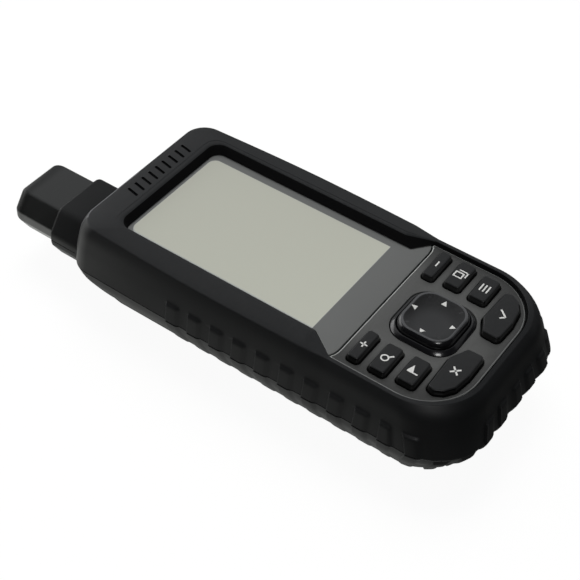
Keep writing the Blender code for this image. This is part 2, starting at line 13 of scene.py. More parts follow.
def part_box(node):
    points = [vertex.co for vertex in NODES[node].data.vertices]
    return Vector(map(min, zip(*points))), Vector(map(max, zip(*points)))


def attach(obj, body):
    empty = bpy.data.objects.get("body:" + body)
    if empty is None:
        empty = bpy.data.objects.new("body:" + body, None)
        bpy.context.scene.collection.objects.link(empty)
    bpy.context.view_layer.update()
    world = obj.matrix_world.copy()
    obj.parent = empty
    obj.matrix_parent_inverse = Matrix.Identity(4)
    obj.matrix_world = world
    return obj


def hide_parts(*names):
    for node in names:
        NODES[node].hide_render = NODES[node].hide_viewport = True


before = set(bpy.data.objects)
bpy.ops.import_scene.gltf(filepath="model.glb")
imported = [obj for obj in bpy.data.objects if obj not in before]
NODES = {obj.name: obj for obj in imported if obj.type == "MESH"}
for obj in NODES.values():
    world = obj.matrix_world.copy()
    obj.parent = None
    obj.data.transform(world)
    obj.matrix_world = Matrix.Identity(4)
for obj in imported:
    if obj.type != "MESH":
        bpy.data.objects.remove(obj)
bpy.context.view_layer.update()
MM = 0.001
Y_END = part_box("silicone_sleeve")[0].y / MM      # the sleeve's bottom end


def W(p):
    return (p[0] * MM, (p[1] + Y_END) * MM, p[2] * MM)


# =====================================================================================
# materials
# =====================================================================================
def srgb(r, g, b):
    f = lambda c: (c / 255) / 12.92 if c / 255 <= 0.04045 else ((c / 255 + 0.055) / 1.055) ** 2.4
    return (f(r), f(g), f(b))


def mat(name, col, rough=0.5, metal=0.0, grain_mm=0.35, bump=0.02, mottle=0.12, mottle_mm=14.0, rough_var=0.06,
        coat=0.0, coat_rough=0.08, spec=0.5, sheen=0.0, wear=0.0, wear_col=None, stretch=None, dust=0.0, fine=0.0, trans=0.0):
    """Moulded or finished surface: broad mottling in colour, fine grain in roughness and bump,
    and paler worn edges. bump is the grain's height in mm."""
    m = bpy.data.materials.new(name)
    m.use_nodes = True
    nt = m.node_tree
    N, L = nt.nodes, nt.links
    bsdf = N["Principled BSDF"]
    tc = N.new("ShaderNodeTexCoord")
    mp = N.new("ShaderNodeMapping")
    L.new(tc.outputs["Object"], mp.inputs["Vector"])
    if stretch:
        mp.inputs["Scale"].default_value = stretch
    big = N.new("ShaderNodeTexNoise")
    big.inputs["Scale"].default_value = 1000.0 / mottle_mm
    big.inputs["Detail"].default_value = 5.0
    big.inputs["Roughness"].default_value = 0.6
    L.new(mp.outputs[0], big.inputs["Vector"])
    fineN = N.new("ShaderNodeTexNoise")
    fineN.inputs["Scale"].default_value = 1000.0 / grain_mm
    fineN.inputs["Detail"].default_value = 2.0
    L.new(mp.outputs[0], fineN.inputs["Vector"])
    # colour
    lo = tuple(c * (1 - mottle) for c in col) + (1,)
    hi = tuple(min(1, c * (1 + mottle)) for c in col) + (1,)
    mix = N.new("ShaderNodeMix")
    mix.data_type = 'RGBA'
    L.new(big.outputs["Fac"], mix.inputs["Factor"])
    mix.inputs["A"].default_value = lo
    mix.inputs["B"].default_value = hi
    out = mix.outputs["Result"]
    if fine:
        sp = N.new("ShaderNodeMix")
        sp.data_type = 'RGBA'
        sp.blend_type = 'MULTIPLY'
        sp.inputs["Factor"].default_value = 1.0
        mr = N.new("ShaderNodeMapRange")
        mr.inputs["From Min"].default_value = 0.3
        mr.inputs["From Max"].default_value = 0.7
        mr.inputs["To Min"].default_value = 1 - fine
        mr.inputs["To Max"].default_value = 1 + fine
        L.new(fineN.outputs["Fac"], mr.inputs["Value"])
        L.new(out, sp.inputs["A"])
        L.new(mr.outputs[0], sp.inputs["B"])
        out = sp.outputs["Result"]
    if wear:
        geo = N.new("ShaderNodeNewGeometry")
        ramp = N.new("ShaderNodeValToRGB")
        ramp.color_ramp.elements[0].position = 0.52
        ramp.color_ramp.elements[1].position = 0.62
        L.new(geo.outputs["Pointiness"], ramp.inputs["Fac"])
        mul = N.new("ShaderNodeMath")
        mul.operation = 'MULTIPLY'
        mul.inputs[1].default_value = wear
        L.new(ramp.outputs["Color"], mul.inputs[0])
        wm = N.new("ShaderNodeMix")
        wm.data_type = 'RGBA'
        L.new(mul.outputs[0], wm.inputs["Factor"])
        L.new(out, wm.inputs["A"])
        wm.inputs["B"].default_value = tuple(wear_col or [min(1, c * 2.2 + 0.02) for c in col]) + (1,)
        out = wm.outputs["Result"]
    if dust:
        geo2 = N.new("ShaderNodeNewGeometry")
        sep = N.new("ShaderNodeSeparateXYZ")
        L.new(geo2.outputs["Normal"], sep.inputs[0])
        up = N.new("ShaderNodeMapRange")
        up.inputs["From Min"].default_value = 0.3
        up.inputs["From Max"].default_value = 1.0
        L.new(sep.outputs["Z"], up.inputs["Value"])
        spot = N.new("ShaderNodeTexNoise")
        spot.inputs["Scale"].default_value = 1000.0 / 5.0
        spot.inputs["Detail"].default_value = 8.0
        spot.inputs["Roughness"].default_value = 0.75
        L.new(mp.outputs[0], spot.inputs["Vector"])
        th = N.new("ShaderNodeMapRange")
        th.inputs["From Min"].default_value = 0.5
        th.inputs["From Max"].default_value = 0.8
        L.new(spot.outputs["Fac"], th.inputs["Value"])
        m1 = N.new("ShaderNodeMath")
        m1.operation = 'MULTIPLY'
        L.new(up.outputs[0], m1.inputs[0])
        L.new(th.outputs[0], m1.inputs[1])
        m2 = N.new("ShaderNodeMath")
        m2.operation = 'MULTIPLY'
        m2.inputs[1].default_value = dust
        L.new(m1.outputs[0], m2.inputs[0])
        dm = N.new("ShaderNodeMix")
        dm.data_type = 'RGBA'
        L.new(m2.outputs[0], dm.inputs["Factor"])
        L.new(out, dm.inputs["A"])
        dm.inputs["B"].default_value = (0.30, 0.30, 0.28, 1)
        out = dm.outputs["Result"]
    L.new(out, bsdf.inputs["Base Color"])
    # roughness
    rr = N.new("ShaderNodeMapRange")
    rr.inputs["From Min"].default_value = 0.25
    rr.inputs["From Max"].default_value = 0.75
    rr.inputs["To Min"].default_value = max(0.02, rough - rough_var)
    rr.inputs["To Max"].default_value = min(1.0, rough + rough_var)
    L.new(big.outputs["Fac"], rr.inputs["Value"])
    L.new(rr.outputs[0], bsdf.inputs["Roughness"])
    # bump
    if bump:
        bp = N.new("ShaderNodeBump")
        bp.inputs["Strength"].default_value = 1.0
        bp.inputs["Distance"].default_value = bump * MM
        L.new(fineN.outputs["Fac"], bp.inputs["Height"])
        L.new(bp.outputs["Normal"], bsdf.inputs["Normal"])
    bsdf.inputs["Metallic"].default_value = metal
    bsdf.inputs["Specular IOR Level"].default_value = spec
    bsdf.inputs["Coat Weight"].default_value = coat
    bsdf.inputs["Coat Roughness"].default_value = coat_rough
    bsdf.inputs["Sheen Weight"].default_value = sheen
    bsdf.inputs["Transmission Weight"].default_value = trans
    m.diffuse_color = tuple(col) + (1,)
    return m


SILICONE = mat("silicone_black", (0.0074, 0.0079, 0.0086), 0.50, grain_mm=0.28, bump=0.013, mottle=0.15, mottle_mm=22, rough_var=0.05,
               dust=0.012, fine=0.10, wear=0.04)
# painted shade: a darker, less reflective copy of the sleeve silicone for the collar
COLLAR_SHADE = mat("silicone_collar_painted_shade", (0.0040, 0.0043, 0.0046), 0.52, grain_mm=0.28, bump=0.010, mottle=0.15, mottle_mm=22, rough_var=0.05, fine=0.10, spec=0.32)
# painted highlight for the sleeve's corner and end edge
CORNER_HIGHLIGHT = mat("silicone_corner_painted_highlight", (0.085, 0.087, 0.092), 0.50, grain_mm=0.3, bump=0.010, mottle=0.25, mottle_mm=5, rough_var=0.05, fine=0.10)
# painted highlight on the lit edge of the grip pads
PAD_EDGE_HIGHLIGHT = mat("silicone_pad_edge_painted_highlight", (0.024, 0.025, 0.026), 0.50, grain_mm=0.3, bump=0.010, mottle=0.25, mottle_mm=5, rough_var=0.05, fine=0.10)
# painted shade: the same silicone darker and duller inside grooves
GROOVE_SHADE = mat("silicone_groove_painted_shade", (0.0016, 0.0016, 0.0018), 0.85, grain_mm=0.3, bump=0.01, spec=0.08)
# painted shade: the same silicone darker and duller on the lip's shadowed inner wall
LIPWALL_SHADE = mat("silicone_lip_wall_painted_shade", (0.0022, 0.0022, 0.0024), 0.8, grain_mm=0.3, bump=0.01, spec=0.12)
PLASTIC = mat("housing_black", (0.010, 0.0105, 0.011), 0.48, grain_mm=0.22, bump=0.014, mottle=0.15, fine=0.15, wear=0.08)
PANEL = mat("panel_grey", (0.070, 0.071, 0.069), 0.42, grain_mm=0.16, bump=0.006, mottle=0.08, mottle_mm=18, fine=0.10, rough_var=0.05)
PLATE = mat("lens_mask_grey", (0.106, 0.109, 0.106), 0.36, grain_mm=0.2, bump=0.0, mottle=0.05, coat=0.5, coat_rough=0.14)
# painted highlight: pale lines along the lens window and the panel's edge next to it
LENS_EDGE_HIGHLIGHT = mat("lens_edge_painted_highlight", (0.36, 0.37, 0.36), 0.22, grain_mm=0.3, bump=0.0, mottle=0.05, coat=0.6, coat_rough=0.1)
# painted highlight on the bevel round the keypad panel
PANEL_RIM_HIGHLIGHT = mat("panel_rim_painted_highlight", (0.14, 0.143, 0.14), 0.30, grain_mm=0.2, bump=0.003, mottle=0.06, coat=0.4, coat_rough=0.12)
KEY = mat("key_black", (0.0075, 0.0078, 0.0082), 0.40, grain_mm=0.12, bump=0.004, mottle=0.10, mottle_mm=6, fine=0.10, wear=0.03)
# glossier key sides; their darker colour is painted shade
KEYSIDE_SHADE = mat("key_side_gloss_painted_shade", (0.0028, 0.0029, 0.0031), 0.22, grain_mm=0.2, bump=0.0, mottle=0.1, rough_var=0.04, coat=0.5, coat_rough=0.1)
INK = mat("key_white", (0.62, 0.62, 0.60), 0.5, grain_mm=0.1, bump=0.0, mottle=0.06, mottle_mm=2)
GLOSS = mat("rocker_gloss", (0.004, 0.004, 0.005), 0.24, grain_mm=0.4, bump=0.0, mottle=0.1, rough_var=0.04, coat=0.6, coat_rough=0.15)
RADOME = mat("antenna_black", (0.0060, 0.0066, 0.0063), 0.33, grain_mm=0.25, bump=0.006, mottle=0.12, fine=0.12, wear=0.06, spec=0.8)
TORCH = mat("torch_window", (0.55, 0.58, 0.60), 0.10, grain_mm=0.8, bump=0.0, mottle=0.05, coat=1.0, coat_rough=0.03)
RUBBER = mat("seal_grey", (0.030, 0.030, 0.031), 0.72, grain_mm=0.3, bump=0.02, mottle=0.15, fine=0.1)


def shade_by(m, kind, p0, p1, v0, v1):
    """Multiplies a material's colour by a soft ramp: along p0 -> p1 (mm), or outwards from p0 between radii p1."""
    nt = m.node_tree
    bs = nt.nodes["Principled BSDF"]
    src = bs.inputs["Base Color"].links[0].from_socket
    tc = nt.nodes.new("ShaderNodeTexCoord")
    vm = nt.nodes.new("ShaderNodeVectorMath")
    mr = nt.nodes.new("ShaderNodeMapRange")
    mr.interpolation_type = 'SMOOTHSTEP'
    if kind == "along":
        a, b = Vector(W(p0)), Vector(W(p1))
        d = (b - a).normalized()
        vm.operation = 'DOT_PRODUCT'
        vm.inputs[1].default_value = d
        mr.inputs["From Min"].default_value = a.dot(d)
        mr.inputs["From Max"].default_value = b.dot(d)
    else:
        vm.operation = 'DISTANCE'
        vm.inputs[1].default_value = W(p0)
        mr.inputs["From Min"].default_value = p1[0] * MM
        mr.inputs["From Max"].default_value = p1[1] * MM
    mr.inputs["To Min"].default_value = v0
    mr.inputs["To Max"].default_value = v1
    nt.links.new(tc.outputs["Object"], vm.inputs[0])
    nt.links.new(vm.outputs["Value"], mr.inputs["Value"])
    mx = nt.nodes.new("ShaderNodeMix")
    mx.data_type = 'RGBA'
    mx.blend_type = 'MULTIPLY'
    mx.inputs["Factor"].default_value = 1.0
    nt.links.new(src, mx.inputs["A"])
    nt.links.new(mr.outputs[0], mx.inputs["B"])
    nt.links.new(mx.outputs["Result"], bs.inputs["Base Color"])


def specular_shade_by(m, p0, p1, v0, v1):
    """Specular level along p0 -> p1 (mm): painted shade, the reflection is turned down towards one end."""
    nt = m.node_tree
    bs = nt.nodes["Principled BSDF"]
    tc = nt.nodes.new("ShaderNodeTexCoord")
    vm = nt.nodes.new("ShaderNodeVectorMath")
    vm.operation = 'DOT_PRODUCT'
    a, b = Vector(W(p0)), Vector(W(p1))
    d = (b - a).normalized()
    vm.inputs[1].default_value = d
    mr = nt.nodes.new("ShaderNodeMapRange")
    mr.interpolation_type = 'SMOOTHSTEP'
    for k, v in (("From Min", a.dot(d)), ("From Max", b.dot(d)), ("To Min", v0), ("To Max", v1)):
        mr.inputs[k].default_value = v
    nt.links.new(tc.outputs["Object"], vm.inputs[0])
    nt.links.new(vm.outputs["Value"], mr.inputs["Value"])
    nt.links.new(mr.outputs[0], bs.inputs["Specular IOR Level"])


# painted shade: the antenna tip reflects less, so its edges stay dark
specular_shade_by(RADOME, (-15.0, 167.5, 20.0), (-15.0, 162.5, 20.0), 0.15, 0.8)
# painted shade: the frame top darkens towards the bottom end
specular_shade_by(SILICONE, (0.0, 5.5, 35.9), (0.0, 13.4, 31.6), 0.20, 0.5)
# painted shade: the keypad panel darkens towards its outline, where the frame's lip shades it
shade_by(PANEL, "out", (0.0, 33.0, 34.5), (16.0, 29.5), 1.0, 0.42)


def screen_material():
    """Reflective display under its glass: pale grey-green, with painted light: lighter towards the -X, -Y corner and
    shaded towards the +X, +Y corner.
    """
    m = bpy.data.materials.new("display_glass")
    m.use_nodes = True
    nt = m.node_tree
    N, L = nt.nodes, nt.links
    b = N["Principled BSDF"]
    tc = N.new("ShaderNodeTexCoord")
    sep = N.new("ShaderNodeSeparateXYZ")
    L.new(tc.outputs["Object"], sep.inputs[0])
    gx = N.new("ShaderNodeMapRange")
    gx.inputs["From Min"].default_value = -0.022
    gx.inputs["From Max"].default_value = 0.022
    L.new(sep.outputs["X"], gx.inputs["Value"])
    gy = N.new("ShaderNodeMapRange")
    gy.inputs["From Min"].default_value = (56 + Y_END) * MM
    gy.inputs["From Max"].default_value = (123 + Y_END) * MM
    L.new(sep.outputs["Y"], gy.inputs["Value"])
    add = N.new("ShaderNodeMath")
    add.operation = 'ADD'
    L.new(gx.outputs[0], add.inputs[0])
    L.new(gy.outputs[0], add.inputs[1])
    half = N.new("ShaderNodeMath")
    half.operation = 'MULTIPLY'
    half.inputs[1].default_value = 0.5
    L.new(add.outputs[0], half.inputs[0])
    mix = N.new("ShaderNodeMix")
    mix.data_type = 'RGBA'
    L.new(half.outputs[0], mix.inputs["Factor"])
    mix.inputs["A"].default_value = (*SCREEN_NEAR_LIT, 1)
    mix.inputs["B"].default_value = (*SCREEN_FAR_SHADED, 1)
    # very fine dot structure of the display
    vor = N.new("ShaderNodeTexNoise")
    vor.inputs["Scale"].default_value = 1000.0 / 0.18
    vor.inputs["Detail"].default_value = 1.0
    L.new(tc.outputs["Object"], vor.inputs["Vector"])
    mr = N.new("ShaderNodeMapRange")
    mr.inputs["To Min"].default_value = 0.97
    mr.inputs["To Max"].default_value = 1.03
    L.new(vor.outputs["Fac"], mr.inputs["Value"])
    mul = N.new("ShaderNodeMix")
    mul.data_type = 'RGBA'
    mul.blend_type = 'MULTIPLY'
    mul.inputs["Factor"].default_value = 1.0
    L.new(mix.outputs["Result"], mul.inputs["A"])
    L.new(mr.outputs[0], mul.inputs["B"])
    L.new(mul.outputs["Result"], b.inputs["Base Color"])
    b.inputs["Roughness"].default_value = 0.34
    b.inputs["Coat Weight"].default_value = 1.0
    b.inputs["Coat Roughness"].default_value = 0.04
    return m


# painted light: the lit and the shaded ends of the display's gradient
SCREEN_NEAR_LIT = (0.452, 0.461, 0.390)
SCREEN_FAR_SHADED = (0.420, 0.424, 0.362)
SCREEN = screen_material()


# =====================================================================================
# mesh helpers
# =====================================================================================
def smooth(me, angle=38):
    me.shade_smooth()
    me.set_sharp_from_angle(angle=radians(angle))


def piece(name, me, body, replaces=(), mats=(), angle=38):
    for m in mats:
        me.materials.append(m)
    smooth(me, angle)
    ob = bpy.data.objects.new(name, me)
    bpy.context.scene.collection.objects.link(ob)
    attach(ob, body)
    if replaces:
        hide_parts(*replaces)
    return ob


def to_mesh(name, bm, recalc=True):
    if recalc:
        bmesh.ops.recalc_face_normals(bm, faces=bm.faces[:])
    me = bpy.data.meshes.new(name)
    bm.to_mesh(me)
    bm.free()
    return me


def add_loft(bm, rows, mat_index=0, closed=False, cap0=True, cap1=True, cap1_mat=None):
    """rows of equal length in mm; skins between them, capping the ends."""
    vs = [[bm.verts.new(W(p)) for p in r] for r in rows]
    n, m = len(vs[0]), len(vs)
    for i in range(m if closed else m - 1):
        a, b = vs[i], vs[(i + 1) % m]
        for j in range(n):
            k = (j + 1) % n
            f = bm.faces.new((a[j], a[k], b[k], b[j]))
            f.material_index = mat_index
    if not closed:
        if cap0:
            f = bm.faces.new(vs[0][::-1])
            f.material_index = mat_index
        if cap1:
            f = bm.faces.new(vs[-1])
            f.material_index = mat_index if cap1_mat is None else cap1_mat
    return vs


def prism(bm, outline, z0, z1, mat_index=0, zfun=None):
    """Closed prism on a 2D outline; zfun(x, y) adds to both heights."""
    g = zfun or (lambda x, y: 0.0)
    add_loft(bm, [[(x, y, z0 + g(x, y)) for x, y in outline], [(x, y, z1 + g(x, y)) for x, y in outline]], mat_index)


def ccw(poly):
    a = sum(poly[i][0] * poly[(i + 1) % len(poly)][1] - poly[(i + 1) % len(poly)][0] * poly[i][1] for i in range(len(poly)))
    return list(poly) if a > 0 else list(poly)[::-1]


def round_poly(poly, r, n=6):
    """Corners of a counter-clockwise polygon rounded with radius r (or less where a side is short)."""
    poly = ccw(poly)
    out = []
    N = len(poly)
    for i in range(N):
        p, a, b = Vector(poly[i]), Vector(poly[i - 1]), Vector(poly[(i + 1) % N])
        u, v = (a - p), (b - p)
        lu, lv = u.length, v.length
        u.normalize()
        v.normalize()
        ang = u.angle(v)
        if ang > radians(176):
            out.append(tuple(p))
            continue
        t = min(r / tan(ang / 2), 0.46 * lu, 0.46 * lv)
        rr = t * tan(ang / 2)
        bis = (u + v).normalized()
        c = p + bis * (rr / sin(ang / 2))
        s, e = p + u * t, p + v * t
        a0 = np.arctan2(s.y - c.y, s.x - c.x)
        a1 = np.arctan2(e.y - c.y, e.x - c.x)
        d = (a1 - a0 + pi) % (2 * pi) - pi
        for k in range(n + 1):
            q = a0 + d * k / n
            out.append((c.x + rr * cos(q), c.y + rr * sin(q)))
    return out


def grow(poly, d):
    """Convex outline offset outwards by d."""
    n = len(poly)
    out = []
    for i in range(n):
        a, b, c = Vector(poly[i - 1]), Vector(poly[i]), Vector(poly[(i + 1) % n])
        e1, e2 = (b - a).normalized(), (c - b).normalized()
        n1, n2 = Vector((e1.y, -e1.x)), Vector((e2.y, -e2.x))
        m = (n1 + n2).normalized()
        out.append(tuple(b + m * (d / max(0.5, m.dot(n1)))))
    return out


def rrect(x0, x1, y0, y1, r, n=6):
    out = []
    for cx, cy, a0 in ((x1 - r, y0 + r, -90), (x1 - r, y1 - r, 0), (x0 + r, y1 - r, 90), (x0 + r, y0 + r, 180)):
        for k in range(n + 1):
            a = radians(a0 + 90 * k / n)
            out.append((cx + r * cos(a), cy + r * sin(a)))
    return out


def fill_loops(bm, loops, mat_index):
    """Flat region bounded by vertex loops; the first is the outside, the rest are holes."""
    edges = []
    for lp in loops:
        for i in range(len(lp)):
            a, b = lp[i], lp[(i + 1) % len(lp)]
            e = bm.edges.get((a, b)) or bm.edges.new((a, b))
            edges.append(e)
    r = bmesh.ops.triangle_fill(bm, use_beauty=True, use_dissolve=False, edges=edges)
    for f in r["geom"]:
        if isinstance(f, bmesh.types.BMFace):
            f.material_index = mat_index


def plate(bm, outline, holes, z0, z1, bevel=0.25, hole_bevel=0.2, mat_index=0, top_extra=None, seg=3, rim=None):
    """Plate with holes. Rounded top edges. top_extra: extra hole loops in the top face, returned as vertex loops."""
    tops, bots = [], []
    for k, lp in enumerate([outline] + list(holes)):
        bv = bevel if k == 0 else hole_bevel
        sgn = -1 if k == 0 else 1
        rows = [[(x, y, z0) for x, y in lp]]
        for q in range(seg + 1):
            a = pi / 2 * q / seg
            g = grow(lp, sgn * bv * (1 - cos(a)))
            rows.append([(x, y, z1 - bv + bv * sin(a)) for x, y in g])
        first = len(bm.faces)
        vs = add_loft(bm, rows, mat_index, cap0=False, cap1=False)
        if rim and k == 0:
            bm.faces.ensure_lookup_table()
            for f in bm.faces[first:]:
                c = f.calc_center_median() / MM
                if c.z > z1 - bv * 0.9:
                    f.material_index = rim(c.x, c.y - Y_END)
        bots.append(vs[0])
        tops.append(vs[-1])
    extra = []
    for lp in (top_extra or []):
        extra.append([bm.verts.new(W((x, y, z1))) for x, y in lp])
    fill_loops(bm, tops + extra, mat_index)
    fill_loops(bm, bots, mat_index)
    return extra


def evaluated(ob):
    dg = bpy.context.evaluated_depsgraph_get()
    dg.update()
    return bpy.data.meshes.new_from_object(ob.evaluated_get(dg))


def boolean_mesh(me, cutter_me, op):
    a = bpy.data.objects.new("tmp_a", me)
    b = bpy.data.objects.new("tmp_b", cutter_me)
    bpy.context.scene.collection.objects.link(a)
    bpy.context.scene.collection.objects.link(b)
    md = a.modifiers.new("b", 'BOOLEAN')
    md.operation = op
    md.solver = 'EXACT'
    md.object = b
    out = evaluated(a)
    bpy.data.objects.remove(a)
    bpy.data.objects.remove(b)
    return out


# =====================================================================================
# sleeve: a grid of outline rows (front to back) by stations round the outline
# =====================================================================================
S0 = 45.2


def pv(hb, ht, y0, y1, rb, rt, zb, zt=None, s1=55.0, bow=0.0):
    return np.array([hb, ht, y0, y1, rb, rt, zb, zb if zt is None else zt, s1, bow], float)


SEAM_Z = 19.8
SEAM_P = pv(34, 34, 0, 140, 17.8, 7.8, SEAM_Z, bow=0.4)
SEC = [("A", 16.2), ("B", 17.8 * pi / 2), ("C", 8.2), ("D", 19.2), ("E", 9.8), ("F", 65.0), ("G", 10.5), ("H", 9.5 * pi / 2), ("I", 24.5)]
SEC_START = {}
_acc = 0.0
for _n, _l in SEC:
    SEC_START[_n] = (_acc, _l)
    _acc += _l
S_TOTAL = _acc


def station(s):
    for n, l in SEC:
        st = SEC_START[n][0]
        if s <= st + l + 1e-9:
            return n, max(0.0, min(1.0, (s - st) / l))
    return "I", 1.0


def ramp(t):
    """Straight ramp with softened ends."""
    k = 0.12
    if t <= 0:
        return 0.0
    if t >= 1:
        return 1.0
    if t < k:
        return t * t / (2 * k) / (1 - k)
    if t > 1 - k:
        return 1 - (1 - t) ** 2 / (2 * k) / (1 - k)
    return (t - k / 2) / (1 - k)


def bulge(y, ye):
    if y <= 88:
        return 0.6 + 0.4 * sin(pi / 2 * max(0.0, (y - 55)) / 33)
    return cos(pi / 2 * min(1.0, (y - 88) / max(1.0, ye - 88)))


def at(p, sec, f):
    hb, ht, y0, y1, rb, rt, zb, zt, s1, bow = p
    if sec == "A":
        return (f * (hb - rb), y0, zb)
    if sec == "B":
        a = -pi / 2 + pi / 2 * f
        return (hb - rb + rb * cos(a), y0 + rb + rb * sin(a), zb)
    if sec == "C":
        return (hb, (y0 + rb) * (1 - f) + 26.0 * f, zb)
    if sec == "D":
        return (hb, 26.0 + 19.2 * f, zb)
    ye = y1 - rt
    if sec == "E":
        k = ramp(f)
        return (hb + (ht + 0.6 * bow - hb) * k, S0 + (s1 - S0) * f, zb + (zt - zb) * k)
    yf = min(120.0, ye - 0.6)
    if sec == "F":
        y = 55.0 + (yf - 55.0) * f
        return (ht + bow * bulge(y, ye), y, zt)
    if sec == "G":
        y = yf * (1 - f) + ye * f
        return (ht + bow * bulge(y, ye), y, zt)
    if sec == "H":
        a = pi / 2 * f
        return (ht - rt + rt * cos(a), y1 - rt + rt * sin(a), zt)
    return ((1 - f) * (ht - rt), y1, zt)


def side_s(y):
    return SEC_START["C"][0] + (y - 17.8)


PAD_Y = [97.6, 89.5, 81.4, 73.3, 65.0, 56.6, 48.4, 39.8, 31.2, 22.8]
PADS_L = [side_s(y) for y in PAD_Y] + [40.1, 31.7, 23.4, 15.2, 7.1]
PADS_R = [side_s(y) for y in PAD_Y] + [41.4, 33.4, 25.3, 17.2, 9.1, 1.0]
PAD_HALF = 2.25
PAD_STEP = [(-0.34, 0.0), (-0.22, 0.22), (-0.08, 0.78), (0.06, 1.0)]     # offset from the pad's edge, share of its height
PAD_EASE = [(-0.45, 0.0), (-0.2, 0.16), (0.35, 0.62), (0.9, 0.92), (1.3, 1.0)]
PAD_H = 0.62


def stations(pads):
    step = {"A": 1.5, "B": 0.95, "C": 1.2, "D": 1.6, "E": 0.75, "F": 2.1, "G": 1.0, "H": 0.7, "I": 1.5}
    fixed = [0.0]
    for n, l in SEC:
        fixed.append(SEC_START[n][0] + l)
    pad_s = []
    for c in pads:
        pad_s += [c + PAD_HALF - o for o, _ in PAD_STEP] + [c + PAD_HALF - 0.36] + [c - PAD_HALF + o for o, _ in PAD_EASE]
    pad_s = [s for s in pad_s if 0 < s < S_TOTAL]
    base = []
    for n, l in SEC:
        k = max(1, int(round(l / step[n])))
        base += [SEC_START[n][0] + l * i / k for i in range(k + 1)]
    keep = sorted(set(round(s, 4) for s in fixed + pad_s))
    for s in base:
        if min(abs(s - q) for q in keep) > 0.40:
            keep.append(s)
    return sorted(set(keep))


def pad_mask(s, pads):
    v = 0.0
    for c in pads:
        if abs(s - c) > PAD_HALF + 0.5:
            continue
        hi = np.interp(c + PAD_HALF - s, [o for o, _ in PAD_STEP], [h for _, h in PAD_STEP])
        lo = np.interp(s - c + PAD_HALF, [o for o, _ in PAD_EASE], [h for _, h in PAD_EASE])
        v = max(v, float(min(hi, lo)))
    return v


def hermite(knots, z):
    """Smooth curve through (z, vector) knots."""
    zs = [k[0] for k in knots]
    i = max(0, min(len(zs) - 2, int(np.searchsorted(zs, z) - 1)))
    h = zs[i + 1] - zs[i]

    def tang(j):
        if j == 0:
            return (knots[1][1] - knots[0][1]) / (zs[1] - zs[0])
        if j == len(zs) - 1:
            return (knots[-1][1] - knots[-2][1]) / (zs[-1] - zs[-2])
        d0 = (knots[j][1] - knots[j - 1][1]) / (zs[j] - zs[j - 1])
        d1 = (knots[j + 1][1] - knots[j][1]) / (zs[j + 1] - zs[j])
        w0, w1 = zs[j + 1] - zs[j], zs[j] - zs[j - 1]
        return (d0 * w0 + d1 * w1) / (w0 + w1)
    t = (z - zs[i]) / h
    a, b = knots[i][1], knots[i + 1][1]
    ma, mb = tang(i) * h, tang(i + 1) * h
    return (2 * t ** 3 - 3 * t * t + 1) * a + (t ** 3 - 2 * t * t + t) * ma + (-2 * t ** 3 + 3 * t * t) * b + (t ** 3 - t * t) * mb


LOWER = [(0.0, pv(21.0, 21.0, 14.2, 127.0, 9, 5, 0.0)), (1.4, pv(23.6, 23.6, 11.9, 129.6, 11, 6, 1.4)),
         (6.6, pv(27.6, 27.6, 7.4, 133.4, 13.5, 7, 6.6)), (12.4, pv(31.2, 31.2, 4.0, 136.8, 16.6, 7.8, 12.4)),
         (16.4, pv(33.2, 33.2, 1.4, 138.8, 17.6, 7.9, 16.4)), (SEAM_Z, SEAM_P)]
UPPER = [(SEAM_Z, SEAM_P), (28.0, pv(32.6, 32.6, 2.2, 139.4, 18.4, 7.7, 28.0, 28.6, bow=0.8)),
         (34.0, pv(31.2, 31.2, 4.4, 137.9, 18.8, 7.4, 34.0, 34.3, bow=1.0)),
         (35.6, pv(30.3, 30.4, 5.8, 137.0, 18.4, 7.2, 35.6, 35.9, bow=1.3))]
CREASE = UPPER[-1][1]
LIP = pv(29.1, 24.75, 7.2, 126.2, 17.6, 4.4, 35.62, 37.36)
LENSBASE = pv(28.7, 22.3, 7.7, 124.2, 17.2, 3.4, 34.8, s1=51.0)
LENSBASE_L = pv(28.7, 24.25, 7.7, 124.2, 17.2, 3.4, 34.8, s1=54.6)
UNDER = pv(29.7, 29.7, 5.4, 134.4, 16.8, 7.6, 34.8)

PAD_ROWS = [(6.3, 0.0), (6.7, 0.25), (7.2, 0.8), (7.7, 1.0)]
PAD_TOP = [(25.6, 1.0), (25.85, 0.8), (26.3, 0.2), (26.55, 0.0)]
PAD_TOP_LOW = [(20.6, 1.0), (20.85, 0.78), (21.15, 0.22), (21.4, 0.0)]
PAD_TOP_SEAM = [(18.3, 1.0), (18.7, 0.78), (19.1, 0.22), (19.4, 0.0)]


def row_mask(z, low):
    top = (PAD_TOP, PAD_TOP_LOW, PAD_TOP_SEAM)[low]
    zz = [p[0] for p in PAD_ROWS] + [p[0] for p in top]
    vv = [p[1] for p in PAD_ROWS] + [p[1] for p in top]
    return float(np.interp(z, zz, vv, left=0.0, right=0.0))


def rounded(a, p, b, d0, d1, n=3):
    """Rows that round the edge at p between neighbours a and b."""
    def ln(v):
        return max(1e-6, hypot(v[1], v[7] if abs(v[7]) > abs(v[6]) else v[6]))
    q0 = p + (a - p) * min(0.45, d0 / ln(a - p))
    q1 = p + (b - p) * min(0.45, d1 / ln(b - p))
    out = []
    for k in range(n + 1):
        t = k / n
        out.append((1 - t) ** 2 * q0 + 2 * t * (1 - t) * p + t * t * q1)
    return out


